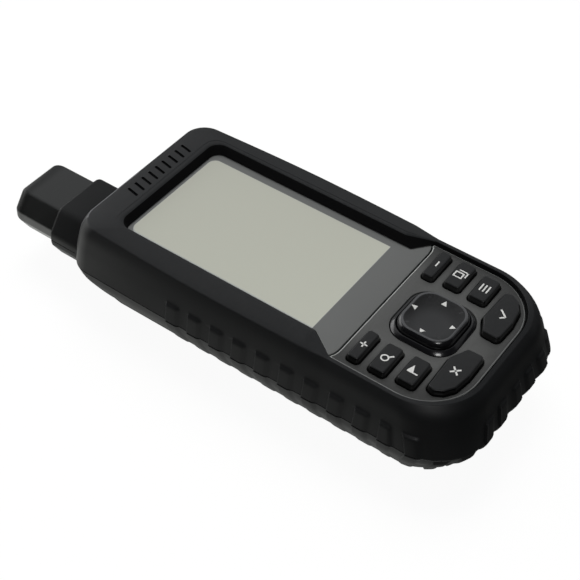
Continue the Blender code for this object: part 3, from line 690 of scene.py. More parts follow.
rows = []          # (vector, z for pads or None, groove depth)
for v in rounded(pv(17.2, 17.2, 16, 121, 4, 4, 0.0), LOWER[0][1], hermite(LOWER, 0.9), 0.7, 0.7):
    rows.append((v, None, 0.0))
for z in (0.9, 1.5, 2.4, 3.6, 5.0, 6.3, 6.7, 7.2, 7.7, 8.8, 10.0, 11.2, 12.4, 13.6, 14.8, 16.0, 17.2, 18.3, 18.7, 19.1, 19.4):
    rows.append((hermite(LOWER, z), z, 0.0))
for z, dpt in ((19.58, 0.0), (19.66, 0.22), (19.72, 0.5), (19.88, 0.5), (19.94, 0.22), (20.02, 0.0)):
    rows.append((hermite(LOWER if z < SEAM_Z else UPPER, z), z, dpt))
for z in (20.3, 20.6, 20.85, 21.15, 21.4, 22.3, 23.5, 24.7, 25.6, 25.85, 26.3, 26.55, 27.4, 28.6, 30.0, 31.4, 32.6, 33.5, 34.3, 34.9):
    rows.append((hermite(UPPER, z), z, 0.0))
N_OUT = len(rows)
for v in rounded(hermite(UPPER, 34.9), CREASE, LIP, 0.34, 0.42, 4):
    rows.append((v, None, 0.0))
for f in (0.12, 0.25, 0.4, 0.55, 0.7, 0.84):
    v = CREASE * (1 - f) + LIP * f
    v[7] += 0.16 * sin(pi * f)
    rows.append((v, None, 0.0))
for v in rounded(CREASE, LIP, LENSBASE, 0.95, 0.75, 6):
    rows.append((v, None, 0.0))
WALL0 = len(rows) - 2
LEFT_ROWS = {}
for f in (0.45, 0.7):
    LEFT_ROWS[len(rows)] = f
    rows.append((LIP * (1 - f) + LENSBASE * f, None, 0.0))
LEFT_ROWS[len(rows)] = 1.0
for v in (LENSBASE, UNDER, pv(31.5, 31.5, 3.7, 135.3, 17, 8, 20.8), pv(30.6, 30.6, 4.6, 134.6, 15.5, 7.8, 16.4),
          pv(28.4, 28.4, 6.6, 133.0, 12, 7, 12.6), pv(24.6, 24.6, 9.6, 130.2, 9, 6, 7.2), pv(19.6, 19.6, 13.4, 126.4, 5, 5, 1.7),
          pv(17.2, 17.2, 16, 121, 4, 4, 1.7)):
    rows.append((v, None, 0.0))
for v in rounded(pv(17.2, 17.2, 16, 121, 4, 4, 1.7), pv(17.2, 17.2, 16, 121, 4, 4, 0.0), LOWER[0][1], 0.45, 0.45):
    rows.append((v, None, 0.0))

SR, SL = stations(PADS_R), stations(PADS_L)
cols = [(s, 1) for s in SR] + [(s, -1) for s in SL[-2:0:-1]]     # right side up, left side down
stn = [station(s) for s, _ in cols]


def share_left(i, q, st, sg):
    """The -X wall of the frame drops straighter to the glass than the +X one."""
    wl = LEFT_ROWS.get(i)
    if sg > 0 or wl is None:
        return q
    a, b = at(LENSBASE, *st), at(LENSBASE_L, *st)
    return tuple(qq + wl * (bb - aa) for qq, aa, bb in zip(q, a, b))


P = np.array([[[sg * q[0], q[1], q[2]] for (q, sg) in ((share_left(i, at(v, *st), st, sg), sg) for st, (s, sg) in zip(stn, cols))]
              for i, (v, _, _) in enumerate(rows)])
# outward normals of the smooth grid
du = np.roll(P, -1, 1) - np.roll(P, 1, 1)
dv = np.empty_like(P)
dv[1:-1] = P[2:] - P[:-2]
dv[0], dv[-1] = P[1] - P[0], P[-1] - P[-2]
NRM = np.cross(du, dv)
NRM /= np.maximum(np.linalg.norm(NRM, axis=2, keepdims=True), 1e-9)
LOW_PADS = {side_s(97.6), side_s(89.5), side_s(81.4), side_s(73.3)}
for j, (s, sg) in enumerate(cols):
    pads = PADS_R if sg > 0 else PADS_L
    low = 1 if sg > 0 and min(abs(s - c) for c in LOW_PADS) < 4.2 else 0
    if sg < 0 and min(abs(s - c) for c in (31.7, 23.4)) < 4.0:
        low = 2
    pm = pad_mask(s, pads)
    for i, (v, z, dpt) in enumerate(rows):
        if z is None:
            continue
        h = PAD_H * pm * row_mask(z, low) - dpt
        if h:
            P[i, j] += NRM[i, j] * h
bm = bmesh.new()
grid = [[bm.verts.new(W(p)) for p in r] for r in P]
R, C = len(grid), len(grid[0])
for i in range(R):
    a, b = grid[i], grid[(i + 1) % R]
    for j in range(C):
        k = (j + 1) % C
        f = bm.faces.new((a[j], a[k], b[k], b[j]))
        # painted shade: the seam groove rows take the dark groove copy of the silicone
        if rows[i][2] + rows[(i + 1) % R][2] > 0.3:
            f.material_index = 1
        # painted shade on the rows of the lip's inner wall
        elif WALL0 <= i < WALL0 + 6:
            f.material_index = 2
        else:
            (sa, sga), (sb, _) = cols[j], cols[k]
            sm, zq = (sa + sb) / 2, rows[i][1]
            # painted highlight: a pale strip along the +Y edge of each grip pad, where the light from behind catches it
            if zq is not None and 8.0 < zq:
                near = min((c for c in (PADS_R if sga > 0 else PADS_L)), key=lambda c: abs(c + PAD_HALF - 0.2 - sm))
                top = (21.0 if near in LOW_PADS else 25.7) if sga > 0 else (18.0 if near in (31.7, 23.4) else 25.7)
                if 0.05 < near + PAD_HALF - sm < 0.36 and zq < top and rows[i + 1][1] is not None:
                    f.material_index = 5
            # painted highlight: a pale line down the corner beside the collar and along the end edge of the frame,
            # where grazing light catches the edge
            if sga < 0:
                sec, fr = station(sm)
                zz = rows[i][0][7]
                if sec == "H" and 20.4 < zz and i < N_OUT + 3 and abs(fr - (0.53 + 0.13 * (zz - 20.4) / 15.0)) < 0.036:
                    f.material_index = 4
                elif N_OUT + 1 <= i <= N_OUT + 2 and ((sec == "H" and fr > 0.66) or (sec == "I" and fr < 0.95)):
                    f.material_index = 4
sleeve_me = to_mesh("sleeve", bm)
for m_ in (SILICONE, GROOVE_SHADE, LIPWALL_SHADE, COLLAR_SHADE, CORNER_HIGHLIGHT, PAD_EDGE_HIGHLIGHT):
    sleeve_me.materials.append(m_)
print("sleeve grid", R, C, R * C)

# collar on the antenna stub
ANT_X = -15.05
STUB = [(8.3, 27.4), (12.6, 21.7), (12.6, 18.4), (9.0, 12.4), (-9.0, 12.4), (-12.6, 18.4), (-12.6, 21.7), (-8.3, 27.4)]


def stub_rows(off, ys, scale=None, r=1.6, n=5):
    """Sections of the antenna stub along y, corners rounded; off grows them."""
    zc = 20.0
    out = []
    for i, y in enumerate(ys):
        s = 1.0 if scale is None else scale[i]
        o = off[i] if isinstance(off, (list, tuple)) else off
        prof = [(x * s, zc + (z - zc) * s) for x, z in STUB]
        prof = grow(round_poly(prof, r * s, n), o)
        out.append([(ANT_X + x, y, z) for x, z in prof])
    return out


bm = bmesh.new()
add_loft(bm, stub_rows([1.9, 1.9, 1.9, 1.82, 1.6, 1.2], [134.0, 141.2, 149.6, 150.1, 150.42, 150.5]))
collar_me = to_mesh("collar", bm)
for m_ in (SILICONE, GROOVE_SHADE, LIPWALL_SHADE, COLLAR_SHADE, CORNER_HIGHLIGHT, PAD_EDGE_HIGHLIGHT):
    collar_me.materials.append(m_)
# painted shade: the collar takes the darker copy of the silicone
for p_ in collar_me.polygons:
    p_.material_index = 3
sleeve_me = boolean_mesh(sleeve_me, collar_me, 'UNION')

bm = bmesh.new()
add_loft(bm, stub_rows(0.3, [130.0, 156.0]))


def box_bm(bm, x0, x1, y0, y1, z0, z1):
    prism(bm, [(x0, y0), (x1, y0), (x1, y1), (x0, y1)], z0, z1)


def side_hole(bm, y0, y1, z0, z1, r, x0=29.9, x1=40.0):
    o = rrect(y0, y1, z0, z1, r)
    add_loft(bm, [[(x0, y, z) for y, z in o], [(x1, y, z) for y, z in o]])


side_hole(bm, 94.6, 116.4, 22.4, 31.6, 2.0)
side_hole(bm, 74.6, 87.4, 23.0, 31.2, 2.0)
o = [(13 + 5.6 * cos(2 * pi * i / 48), 27.0 + 5.6 * sin(2 * pi * i / 48)) for i in range(48)]
add_loft(bm, [[(x, 130.5, z) for x, z in o], [(x, 146.0, z) for x, z in o]])
# row of slanted bars sunk in the top of the frame
TILT = (37.2 - 35.9) / (137.0 - 126.3)


def frame_top(x, y):
    f = (137.0 - y) / (137.0 - 126.3)
    return 35.9 + 1.3 * f + 0.16 * sin(pi * min(1, max(0, f)))


for i in range(9):
    x = -10.6 + i * 3.3
    w, h, sl = 0.95, 4.9, 1.5
    yc = 131.6
    para = [(x - w / 2 - sl / 2, yc - h / 2), (x + w / 2 - sl / 2, yc - h / 2), (x + w / 2 + sl / 2, yc + h / 2), (x - w / 2 + sl / 2, yc + h / 2)]
    para = round_poly(para, 0.3, 3)
    add_loft(bm, [[(px, py, frame_top(px, py) - 0.45) for px, py in para], [(px, py, frame_top(px, py) + 1.5) for px, py in para]])
for sg in (-1, 1):          # seam on the collar
    xa, xb = ANT_X + sg * 14.15, ANT_X + sg * 16.5
    box_bm(bm, min(xa, xb), max(xa, xb), 140.1, 151.5, 19.66, 19.94)
cut_me = to_mesh("cuts", bm)
for m_ in (SILICONE, GROOVE_SHADE, LIPWALL_SHADE, COLLAR_SHADE, CORNER_HIGHLIGHT, PAD_EDGE_HIGHLIGHT):
    cut_me.materials.append(m_)
for p_ in cut_me.polygons:
    c = p_.center
    top_bar = c.z / MM > 33 and c.y / MM - Y_END > 127
    seam_cut = 19.6 < c.z / MM < 20.0 and c.y / MM - Y_END > 139.9
    # painted shade: the sunk bars and the collar's seam take the dark groove material
    p_.material_index = 1 if (top_bar or seam_cut) else 0
sleeve_me = boolean_mesh(sleeve_me, cut_me, 'DIFFERENCE')
piece("sleeve", sleeve_me, "unit", ["silicone_sleeve"], [], 44)

# =====================================================================================
# antenna radome
# =====================================================================================
bm = bmesh.new()
ys, sc = [135.3, 150.0, 164.4], [1.0, 1.0, 0.995]
for k in range(1, 8):
    a = pi / 2 * k / 7
    ys.append(164.4 + 3.6 * sin(a))
    sc.append(0.995 - 0.17 * (1 - cos(a)))
outer = stub_rows(0.0, ys, sc)
inner = stub_rows(-1.5, [135.3, 162.6])
vo = add_loft(bm, outer, cap0=False)
vi = add_loft(bm, inner, cap0=False)
n = len(vo[0])
for j in range(n):
    k = (j + 1) % n
    bm.faces.new((vo[0][j], vo[0][k], vi[0][k], vi[0][j]))
piece("antenna_cover", to_mesh("antenna_cover", bm), "unit", ["antenna_radome"], [RADOME], 50)

# =====================================================================================
# screen glass
# =====================================================================================
SCREEN_Z = 34.5


def plate_top_half():
    """Right half of the glass outline from the bottom middle to the top middle."""
    pts = [(0.0, 45.5), (24.1, 45.5), (25.6, 45.65), (26.9, 46.05), (27.9, 46.75), (28.02, 47.1), (24.55, 55.0)]
    x1, y1, r = 24.55, 126.1, 4.0
    for k in range(9):
        a = pi / 2 * k / 8
        pts.append((x1 - r + r * cos(a), y1 - r + r * sin(a)))
    pts.append((0.0, y1))
    return pts


h = plate_top_half()
glass_outline = h + [(-x, y) for x, y in h[-2:0:-1]]
WX0, WX1, WY0, WY1 = -22.0, 19.45, 56.1, 123.15
window = [(WX0, WY0), (WX1, WY0)]
for cx, a0 in ((WX1 - 2.6, 0), (WX0 + 2.6, 90)):
    for k in range(9):
        a = radians(a0 + 90 * k / 8)
        window.append((cx + 2.6 * cos(a), WY1 - 2.6 + 2.6 * sin(a)))
window = ccw(window)
bm = bmesh.new()
# painted highlight: a pale line round the window, wider on the -X side
border = [(x - 0.42 * min(1.0, max(0.0, -20.6 - x) / 1.4), y) for x, y in grow(window, 0.12)]
ex = plate(bm, glass_outline, [], 33.3, SCREEN_Z, bevel=0.2, mat_index=0, top_extra=[border])
wv = [bm.verts.new(W((x, y, SCREEN_Z))) for x, y in window]
bv = ex[0]
for j in range(len(wv)):
    k = (j + 1) % len(wv)
    f = bm.faces.new((bv[j], bv[k], wv[k], wv[j]))
    f.material_index = 1
f = bm.faces.new(wv)
f.material_index = 2
glass = piece("screen_glass", to_mesh("screen_glass", bm), "unit", ["display_lens"], [PLATE, LENS_EDGE_HIGHLIGHT, SCREEN], 30)

# =====================================================================================
# keypad panel, keys, rocker
# =====================================================================================
BIG = [(9.4, 18.9), (3.4, 15.9), (3.3, 10.9), (4.8, 10.3), (12.3, 10.2), (18.3, 11.1), (21.5, 13.2), (23.0, 15.9), (22.2, 18.4)]
KEYS = {
    "key_zoom_in": (-26.3, -13.9, 38.1, 42.2), "key_zoom_out": (13.9, 26.3, 38.1, 42.2),
    "key_find": (-26.2, -14.7, 29.6, 35.2), "key_page": (14.7, 26.2, 29.6, 35.2),
    "key_mark": (-25.1, -14.4, 20.8, 26.8), "key_menu": (14.4, 25.1, 20.8, 26.8),
    "key_quit": [(-x, y) for x, y in BIG[::-1]], "key_enter": [(9.9, 18.9), (4.3, 16.2), (4.15, 11.2), (5.6, 10.5)] + BIG[4:],
}
ROCK = (0.1, 29.4)
KEY_TOP = 36.4


def outline_of(spec):
    if isinstance(spec, tuple):
        return rrect(*spec, 1.15, n=6)
    return round_poly(spec, 1.5, 6)


def rock(hx, hy, z, r=None, n=12):
    r = min(hx, hy) * 0.62 if r is None else r
    return [(x, y, z) for x, y in rrect(ROCK[0] - hx, ROCK[0] + hx, ROCK[1] - hy, ROCK[1] + hy, r, n)]


pts = [(0.0, 7.9)]
for k in range(25):
    a = -pi / 2 + pi / 2 * k / 24
    pts.append((28.45 - 17 + 17 * cos(a), 7.9 + 17 + 17 * sin(a)))
pts += [(28.45, 45.4), (28.2, 46.0), (27.9, 46.25), (26.9, 45.6), (25.6, 45.22), (24.1, 45.1), (0.0, 45.1)]
panel_outline = ccw(pts + [(-x, y) for x, y in pts[-2:0:-1]])
holes = [grow(outline_of(s), 0.3) for s in KEYS.values()] + [[(x, y) for x, y, z in rock(11.22, 10.82, 0)]]
bm = bmesh.new()
# painted highlight: the outline's bevel takes the pale rim material, and the lens edge material along the top
plate(bm, panel_outline, holes, 33.3, SCREEN_Z, bevel=0.42, hole_bevel=0.22, rim=lambda x, y: 2 if y > 44.2 else 1)
piece("keypad_face", to_mesh("keypad_face", bm), "unit", ["keypad_panel"], [PANEL, PANEL_RIM_HIGHLIGHT, LENS_EDGE_HIGHLIGHT], 30)


def bar(cx, cy, w, h, ang=0.0, r=0.0):
    c, s = cos(radians(ang)), sin(radians(ang))
    out = []
    for x, y in ((-w / 2, -h / 2), (w / 2, -h / 2), (w / 2, h / 2), (-w / 2, h / 2)):
        out.append((cx + x * c - y * s, cy + x * s + y * c))
    return out


def circle(cx, cy, r, n=24):
    return [(cx + r * cos(2 * pi * i / n), cy + r * sin(2 * pi * i / n)) for i in range(n)]


def annulus(bm, cx, cy, r0, r1, z0, z1, mi, n=28):
    o, i = circle(cx, cy, r1, n), circle(cx, cy, r0, n)
    rows = [[(x, y, z0) for x, y in o], [(x, y, z1) for x, y in o], [(x, y, z1) for x, y in i], [(x, y, z0) for x, y in i]]
    add_loft(bm, rows, mi, closed=True)


def icon(bm, kind, cx, cy, z0, z1, mi=1):
    t = 0.46
    P = lambda poly: prism(bm, ccw(poly), z0, z1, mi)
    if kind == "plus":
        P(bar(cx, cy, 2.3, t))
        P(bar(cx, cy, t, 2.3))
    elif kind == "minus":
        P(bar(cx, cy, 2.3, t))
    elif kind == "find":
        annulus(bm, cx - 0.35, cy + 0.35, 0.85, 1.28, z0, z1, mi)
        P(bar(cx + 1.05, cy - 1.05, 1.5, t * 1.15, -45))
    elif kind == "page":
        for dx, dy in ((-0.45, 0.4),):
            P(bar(cx + dx, cy + dy + 1.25, 2.5, t))
            P(bar(cx + dx, cy + dy - 1.25, 2.5, t))
            P(bar(cx + dx - 1.03, cy + dy, t, 2.1))
            P(bar(cx + dx + 1.03, cy + dy, t, 2.1))
        P(bar(cx + 1.55, cy - 0.35, t, 3.0))
        P(bar(cx + 0.55, cy - 1.75, 2.4, t))
    elif kind == "mark":
        P(bar(cx - 1.1, cy, t, 3.4))
        P([(cx - 0.87, cy + 1.7), (cx + 1.7, cy + 0.75), (cx - 0.87, cy - 0.2)])
    elif kind == "menu":
        for k in (-1, 0, 1):
            P(bar(cx, cy + 1.15 * k, 3.1, t))
    elif kind == "quit":
        P(bar(cx, cy, 3.3, t * 1.15, 45))
        P(bar(cx, cy, 3.3, t * 1.15, -45))
    elif kind == "enter":
        P(bar(cx - 1.05, cy - 0.55, 1.7, t * 1.15, -45))
        P(bar(cx + 0.62, cy - 0.02, 3.3, t * 1.15, 50))


ICON = {"key_zoom_in": "plus", "key_zoom_out": "minus", "key_find": "find", "key_page": "page", "key_mark": "mark",
        "key_menu": "menu", "key_quit": "quit", "key_enter": "enter"}
for name, spec in KEYS.items():
    o = ccw(outline_of(spec))
    rows_k = [[(x, y, 32.2) for x, y in grow(o, 0.4)], [(x, y, 32.9) for x, y in grow(o, 0.4)], [(x, y, 32.9) for x, y in grow(o, 0.0)]]
    rk = 0.38
    rows_k.append([(x, y, 34.4) for x, y in o])
    for q in range(0, 7):
        a = pi / 2 * q / 6
        rows_k.append([(x, y, KEY_TOP - rk + rk * sin(a)) for x, y in grow(o, -0.35 - 0.5 * (1 - cos(a)))])
    bm = bmesh.new()
    add_loft(bm, rows_k, 0)
    # painted shade: the key sides below the top take the darker gloss black
    for f in bm.faces:
        if f.calc_center_median().z / MM < KEY_TOP - rk * 0.75:
            f.material_index = 2
    xs, yy = [p[0] for p in o], [p[1] for p in o]
    cx, cy = (min(xs) + max(xs)) / 2, (min(yy) + max(yy)) / 2
    icon(bm, ICON[name], cx, cy, KEY_TOP - 0.25, KEY_TOP + 0.03)
    piece(name.replace("key_", "keycap_"), to_mesh(name, bm), name, [name], [KEY, INK, KEYSIDE_SHADE], 36)

# rocker: dished top in a matt finish, gloss skirt
bm = bmesh.new()
prof = [(8.0, 7.6, 33.6), (9.0, 8.6, 33.65), (9.42, 9.02, 33.95), (9.56, 9.14, 34.9), (9.5, 9.04, 35.6), (9.34, 8.84, 36.3), (9.1, 8.58, 36.95),
        (8.66, 8.16, 37.46), (8.36, 7.86, 37.6), (8.0, 7.5, 37.56), (7.6, 7.1, 37.42), (6.6, 6.15, 37.12), (5.2, 4.8, 36.88), (3.4, 3.0, 36.74), (1.5, 1.4, 36.7)]
inner_r = [(1.2, 1.2, 35.4), (3.6, 3.6, 35.4), (3.7, 3.7, 33.6)]
vs = add_loft(bm, [rock(*p) for p in inner_r] + [rock(*p) for p in prof], 1)
# painted highlight: the faces of the rocker's raised rim take the pale rim material
for f in bm.faces:
    c = f.calc_center_median()
    if c.z / MM > 37.50 and hypot(c.x / MM - ROCK[0], c.y / MM - Y_END - ROCK[1]) > 7.0:
        f.material_index = 3
    elif c.z / MM > 37.35 or (c.z / MM > 36.6 and hypot(c.x / MM - ROCK[0], c.y / MM - Y_END - ROCK[1]) < 8.0):
        f.material_index = 0


def dish(x, y):
    r = max(abs(x - ROCK[0]) / 9.0, abs(y - ROCK[1]) / 8.5) * 9.0
    return float(np.interp(r, [1.5, 3.4, 5.2, 6.6, 7.6, 8.0, 8.3], [36.7, 36.74, 36.88, 37.12, 37.42, 37.56, 37.6]))


for cx, cy, a in ((0.2, 36.1, 90), (6.6, 29.7, 0), (-0.2, 23.1, 270), (-6.6, 29.6, 180)):
    t = 0.95
    tri = [(t, 0), (-t * 0.75, t * 0.95), (-t * 0.75, -t * 0.95)]
    tri = [(cx + x * cos(radians(a)) - y * sin(radians(a)), cy + x * sin(radians(a)) + y * cos(radians(a))) for x, y in tri]
    add_loft(bm, [[(x, y, dish(x, y) - 0.2) for x, y in ccw(tri)], [(x, y, dish(x, y) + 0.04) for x, y in ccw(tri)]], 2)
ROCK_TOP = mat("rocker_top", (0.0195, 0.0200, 0.0210), 0.38, grain_mm=0.12, bump=0.004, mottle=0.1, fine=0.1, mottle_mm=6)
# painted highlight on the rocker's rim
ROCK_RIM_HIGHLIGHT = mat("rocker_rim_painted_highlight", (0.050, 0.051, 0.054), 0.34, grain_mm=0.2, bump=0.0, mottle=0.06, coat=0.6, coat_rough=0.12)
# painted light: the dish is paler round a point just -X, -Y of its middle and shaded darker towards the far edges
shade_by(ROCK_TOP, "out", (ROCK[0] - 2.6, ROCK[1] - 0.8, 36.8), (3.6, 8.2), 1.0, 0.34)
piece("rocker_button", to_mesh("rocker_button", bm), "rocker", ["rocker_cap"], [ROCK_TOP, GLOSS, INK, ROCK_RIM_HIGHLIGHT], 40)

bm = bmesh.new()
tr = [(o, o - 0.4, z) for o, z in ((11.08, 33.6), (11.08, 34.22), (11.03, 34.38), (10.92, 34.54), (10.72, 34.77), (10.5, 35.0), (10.28, 35.2), (10.1, 35.36),
                                  (9.98, 35.44), (9.86, 35.46), (9.76, 35.40), (9.72, 35.26), (9.72, 33.6))]
add_loft(bm, [rock(*p) for p in tr], closed=True)
piece("rocker_trim", to_mesh("rocker_trim", bm), "rocker", ["rocker_trim_ring"], [GLOSS], 50)

# =====================================================================================
# side controls and torch
# =====================================================================================
def pillow(bm, y0, y1, z0, z1, r, x0, x1, rd, mi=0, crown=0.0):
    """Rounded block standing out along +X, with a softly crowned face."""
    o = rrect(y0, y1, z0, z1, r, 6)
    rows = [[(x0, y, z) for y, z in o]]
    for q in range(6):
        a = pi / 2 * q / 5
        rows.append([(x1 - crown - rd + rd * sin(a), y, z) for y, z in grow(o, -rd * (1 - cos(a)))])
    base = grow(o, -rd)
    yc, zc = (y0 + y1) / 2, (z0 + z1) / 2
    for q, c in ((0.85, 0.45), (0.6, 0.78), (0.3, 0.96)):
        rows.append([(x1 - crown + crown * c, yc + (y - yc) * q, zc + (z - zc) * q) for y, z in base])
    add_loft(bm, rows, mi)


bm = bmesh.new()
pillow(bm, 77.0, 85.0, 25.1, 29.1, 1.6, 29.7, 32.9, 0.7, crown=0.25)
for k in (-1, 0, 1):            # three raised dimples to find it by touch
    c = [(81.0 + 1.7 * k + 0.42 * cos(2 * pi * i / 20), 27.1 + 0.42 * sin(2 * pi * i / 20)) for i in range(20)]
    c2 = [(81.0 + 1.7 * k + 0.22 * cos(2 * pi * i / 20), 27.1 + 0.22 * sin(2 * pi * i / 20)) for i in range(20)]
    add_loft(bm, [[(32.5, y, z) for y, z in c], [(32.94, y, z) for y, z in c], [(33.06, y, z) for y, z in c2]])
piece("power_button_cap", to_mesh("power_button_cap", bm), "power_key", ["power_button"], [RUBBER], 40)

bm = bmesh.new()
pillow(bm, 96.4, 114.0, 24.0, 30.0, 1.5, 30.35, 31.45, 0.45, crown=0.12)
pillow(bm, 97.2, 98.5, 25.2, 28.8, 0.5, 31.0, 31.95, 0.3, crown=0.05)           # finger lip at the free end
for k in range(4):
    yk = 101.2 + 1.5 * k
    pillow(bm, yk, yk + 0.6, 25.4, 28.6, 0.28, 31.1, 31.66, 0.16)
piece("weather_cap_face", to_mesh("weather_cap_face", bm), "weather_cap", ["usb_weather_cap"], [RUBBER], 40)


def revolve_y(bm, prof, cx, cz, mi=0, n=48):
    add_loft(bm, [[(cx + r * cos(2 * pi * i / n), y, cz + r * sin(2 * pi * i / n)) for i in range(n)] for r, y in prof], mi)


bm = bmesh.new()
revolve_y(bm, [(3.9, 133.3), (4.2, 133.3), (4.2, 134.7), (4.1, 134.92), (3.85, 135.0), (3.6, 134.92), (3.55, 134.5)], 13, 27, 1)
revolve_y(bm, [(3.5, 133.6), (3.5, 134.35), (2.95, 134.62), (2.9, 134.4), (2.25, 134.68), (2.2, 134.46), (1.55, 134.74), (1.5, 134.6), (0.9, 134.86), (0.3, 134.92)], 13, 27, 0)
piece("torch_window", to_mesh("torch_window", bm), "unit", ["torch_lens"], [TORCH, GLOSS], 25)

# =====================================================================================
# finishes of the carried-over nodes
# =====================================================================================
BOARD = mat("board_green", (0.010, 0.075, 0.035), 0.42, grain_mm=0.5, bump=0.01, mottle=0.2, mottle_mm=3, coat=0.4, coat_rough=0.2)
STEEL = mat("steel", (0.56, 0.56, 0.55), 0.28, 1.0, grain_mm=0.3, bump=0.003, mottle=0.08, mottle_mm=5, rough_var=0.08, stretch=(1, 0.15, 1))
CONTACT = mat("plated_contact", (0.70, 0.56, 0.28), 0.28, 1.0, grain_mm=0.3, bump=0.002, mottle=0.08)
WHITEP = mat("white_plastic", (0.72, 0.72, 0.69), 0.42, grain_mm=0.3, bump=0.006, mottle=0.04)
CELLM = mat("cell_wrap", (0.10, 0.16, 0.24), 0.28, grain_mm=0.4, bump=0.0, mottle=0.1, coat=0.5)
CERAM = mat("antenna_ceramic", (0.62, 0.58, 0.48), 0.5, grain_mm=0.3, bump=0.01, mottle=0.06)
CLEAR = mat("torch_clear", (0.62, 0.65, 0.66), 0.08, grain_mm=0.8, bump=0.0, mottle=0.05, coat=1.0, coat_rough=0.03)
LCD = mat("lcd_glass", (0.30, 0.31, 0.28), 0.25, grain_mm=0.2, bump=0.0, mottle=0.05)
NODE_MAT = {
    "front_housing": PLASTIC, "rear_housing": PLASTIC, "housing_gasket": RUBBER, "lcd_module": LCD, "backlight": WHITEP,
    "key_membrane": RUBBER, "dome_switch_sheet": STEEL, "main_board": BOARD, "radio_shield_can": STEEL, "gps_module": STEEL,
    "buzzer": PLASTIC, "card_socket": STEEL, "pressure_sensor": WHITEP, "usb_port": STEEL, "power_switch": STEEL,
    "torch_lens": CLEAR, "torch_led": WHITEP, "antenna_helix_core": CERAM, "antenna_helix_wire": CONTACT,
    "antenna_base_board": BOARD, "antenna_coax": STEEL, "cell_contact_left": CONTACT, "cell_contact_right": CONTACT,
    "cell_spring_left": STEEL, "cell_spring_right": STEEL, "mounting_spine": PLASTIC, "rocker_pivot": WHITEP,
    "power_button": RUBBER, "usb_weather_cap": RUBBER, "battery_door": PLASTIC, "door_latch": KEY, "latch_d_ring": STEEL,
    "aa_cell_left": CELLM, "aa_cell_right": CELLM,
}
for i in range(1, 7):
    NODE_MAT["housing_screw_%d" % i] = STEEL
for n, ob in NODES.items():
    if ob.hide_render:
        continue
    m = NODE_MAT.get(n, PLASTIC)
    if not ob.material_slots:
        ob.data.materials.append(m)
    for s in ob.material_slots:
        s.link = 'OBJECT'
        s.material = m

# =====================================================================================
# stage, light, camera
# =====================================================================================
SC = bpy.context.scene
SC.view_settings.view_transform = 'Standard'
SC.view_settings.look = 'None'

me = bpy.data.meshes.new("floor")
me.from_pydata([(-3, -3, 0), (3, -3, 0), (3, 3, 0), (-3, 3, 0)], [], [(0, 1, 2, 3)])
floor = bpy.data.objects.new("floor", me)
floor.location = (0, 0, -0.0001)
SC.collection.objects.link(floor)
fm = bpy.data.materials.new("floor_pale")
fm.use_nodes = True
nt = fm.node_tree
nt.nodes.clear()
out = nt.nodes.new("ShaderNodeOutputMaterial")
lp = nt.nodes.new("ShaderNodeLightPath")
d1 = nt.nodes.new("ShaderNodeBsdfDiffuse")
d1.inputs["Color"].default_value = (0.07, 0.07, 0.069, 1)
d2 = nt.nodes.new("ShaderNodeEmission")          # what the unit's sides see of the table
d2.inputs["Color"].default_value = (0.985, 1.0, 0.97, 1)
fgeo = nt.nodes.new("ShaderNodeNewGeometry")
fsep = nt.nodes.new("ShaderNodeSeparateXYZ")
nt.links.new(fgeo.outputs["Position"], fsep.inputs[0])
fcr = nt.nodes.new("ShaderNodeFloatCurve")
fmr = nt.nodes.new("ShaderNodeMapRange")
fmr.inputs["From Min"].default_value = -0.15
fmr.inputs["From Max"].default_value = 0.15
nt.links.new(fsep.outputs["Y"], fmr.inputs["Value"])
cv = fcr.mapping.curves[0]
cv.points[0].location = (0.0, 0.08)
cv.points[1].location = (1.0, 0.95)
for q in ((0.20, 0.16), (0.33, 0.42), (0.50, 0.45), (0.66, 0.42), (0.76, 0.88)):
    cv.points.new(*q)
fcr.mapping.update()
nt.links.new(fmr.outputs[0], fcr.inputs["Value"])
fab = nt.nodes.new("ShaderNodeMath")
fab.operation = 'ABSOLUTE'
nt.links.new(fsep.outputs["X"], fab.inputs[0])
ffo = nt.nodes.new("ShaderNodeMapRange")
ffo.interpolation_type = 'SMOOTHSTEP'
ffo.inputs["From Min"].default_value = 0.045
ffo.inputs["From Max"].default_value = 0.120
ffo.inputs["To Min"].default_value = 1.0
ffo.inputs["To Max"].default_value = 0.10
nt.links.new(fab.outputs[0], ffo.inputs["Value"])
fmu = nt.nodes.new("ShaderNodeMath")
fmu.operation = 'MULTIPLY'
nt.links.new(fcr.outputs[0], fmu.inputs[0])
nt.links.new(ffo.outputs[0], fmu.inputs[1])
nt.links.new(fmu.outputs[0], d2.inputs["Strength"])
em = nt.nodes.new("ShaderNodeEmission")
em.inputs["Color"].default_value = (1, 1, 1, 1)
em.inputs["Strength"].default_value = 0.94
ad = nt.nodes.new("ShaderNodeAddShader")
mx = nt.nodes.new("ShaderNodeMixShader")
nt.links.new(d1.outputs[0], ad.inputs[0])
nt.links.new(em.outputs[0], ad.inputs[1])
nt.links.new(lp.outputs["Is Camera Ray"], mx.inputs[0])
nt.links.new(d2.outputs[0], mx.inputs[1])
nt.links.new(ad.outputs[0], mx.inputs[2])
nt.links.new(mx.outputs[0], out.inputs[0])
me.materials.append(fm)

world = bpy.data.worlds.new("studio")
SC.world = world
world.use_nodes = True
nt = world.node_tree
nt.nodes.clear()
wo = nt.nodes.new("ShaderNodeOutputWorld")
bg1 = nt.nodes.new("ShaderNodeBackground")
bg1.inputs["Color"].default_value = (1, 1, 1, 1)
bg1.inputs["Strength"].default_value = 0.97
bg2 = nt.nodes.new("ShaderNodeBackground")
bg2.inputs["Color"].default_value = (0.97, 0.985, 1.0, 1)
bg2.inputs["Strength"].default_value = 0.45
lp = nt.nodes.new("ShaderNodeLightPath")
mx = nt.nodes.new("ShaderNodeMixShader")
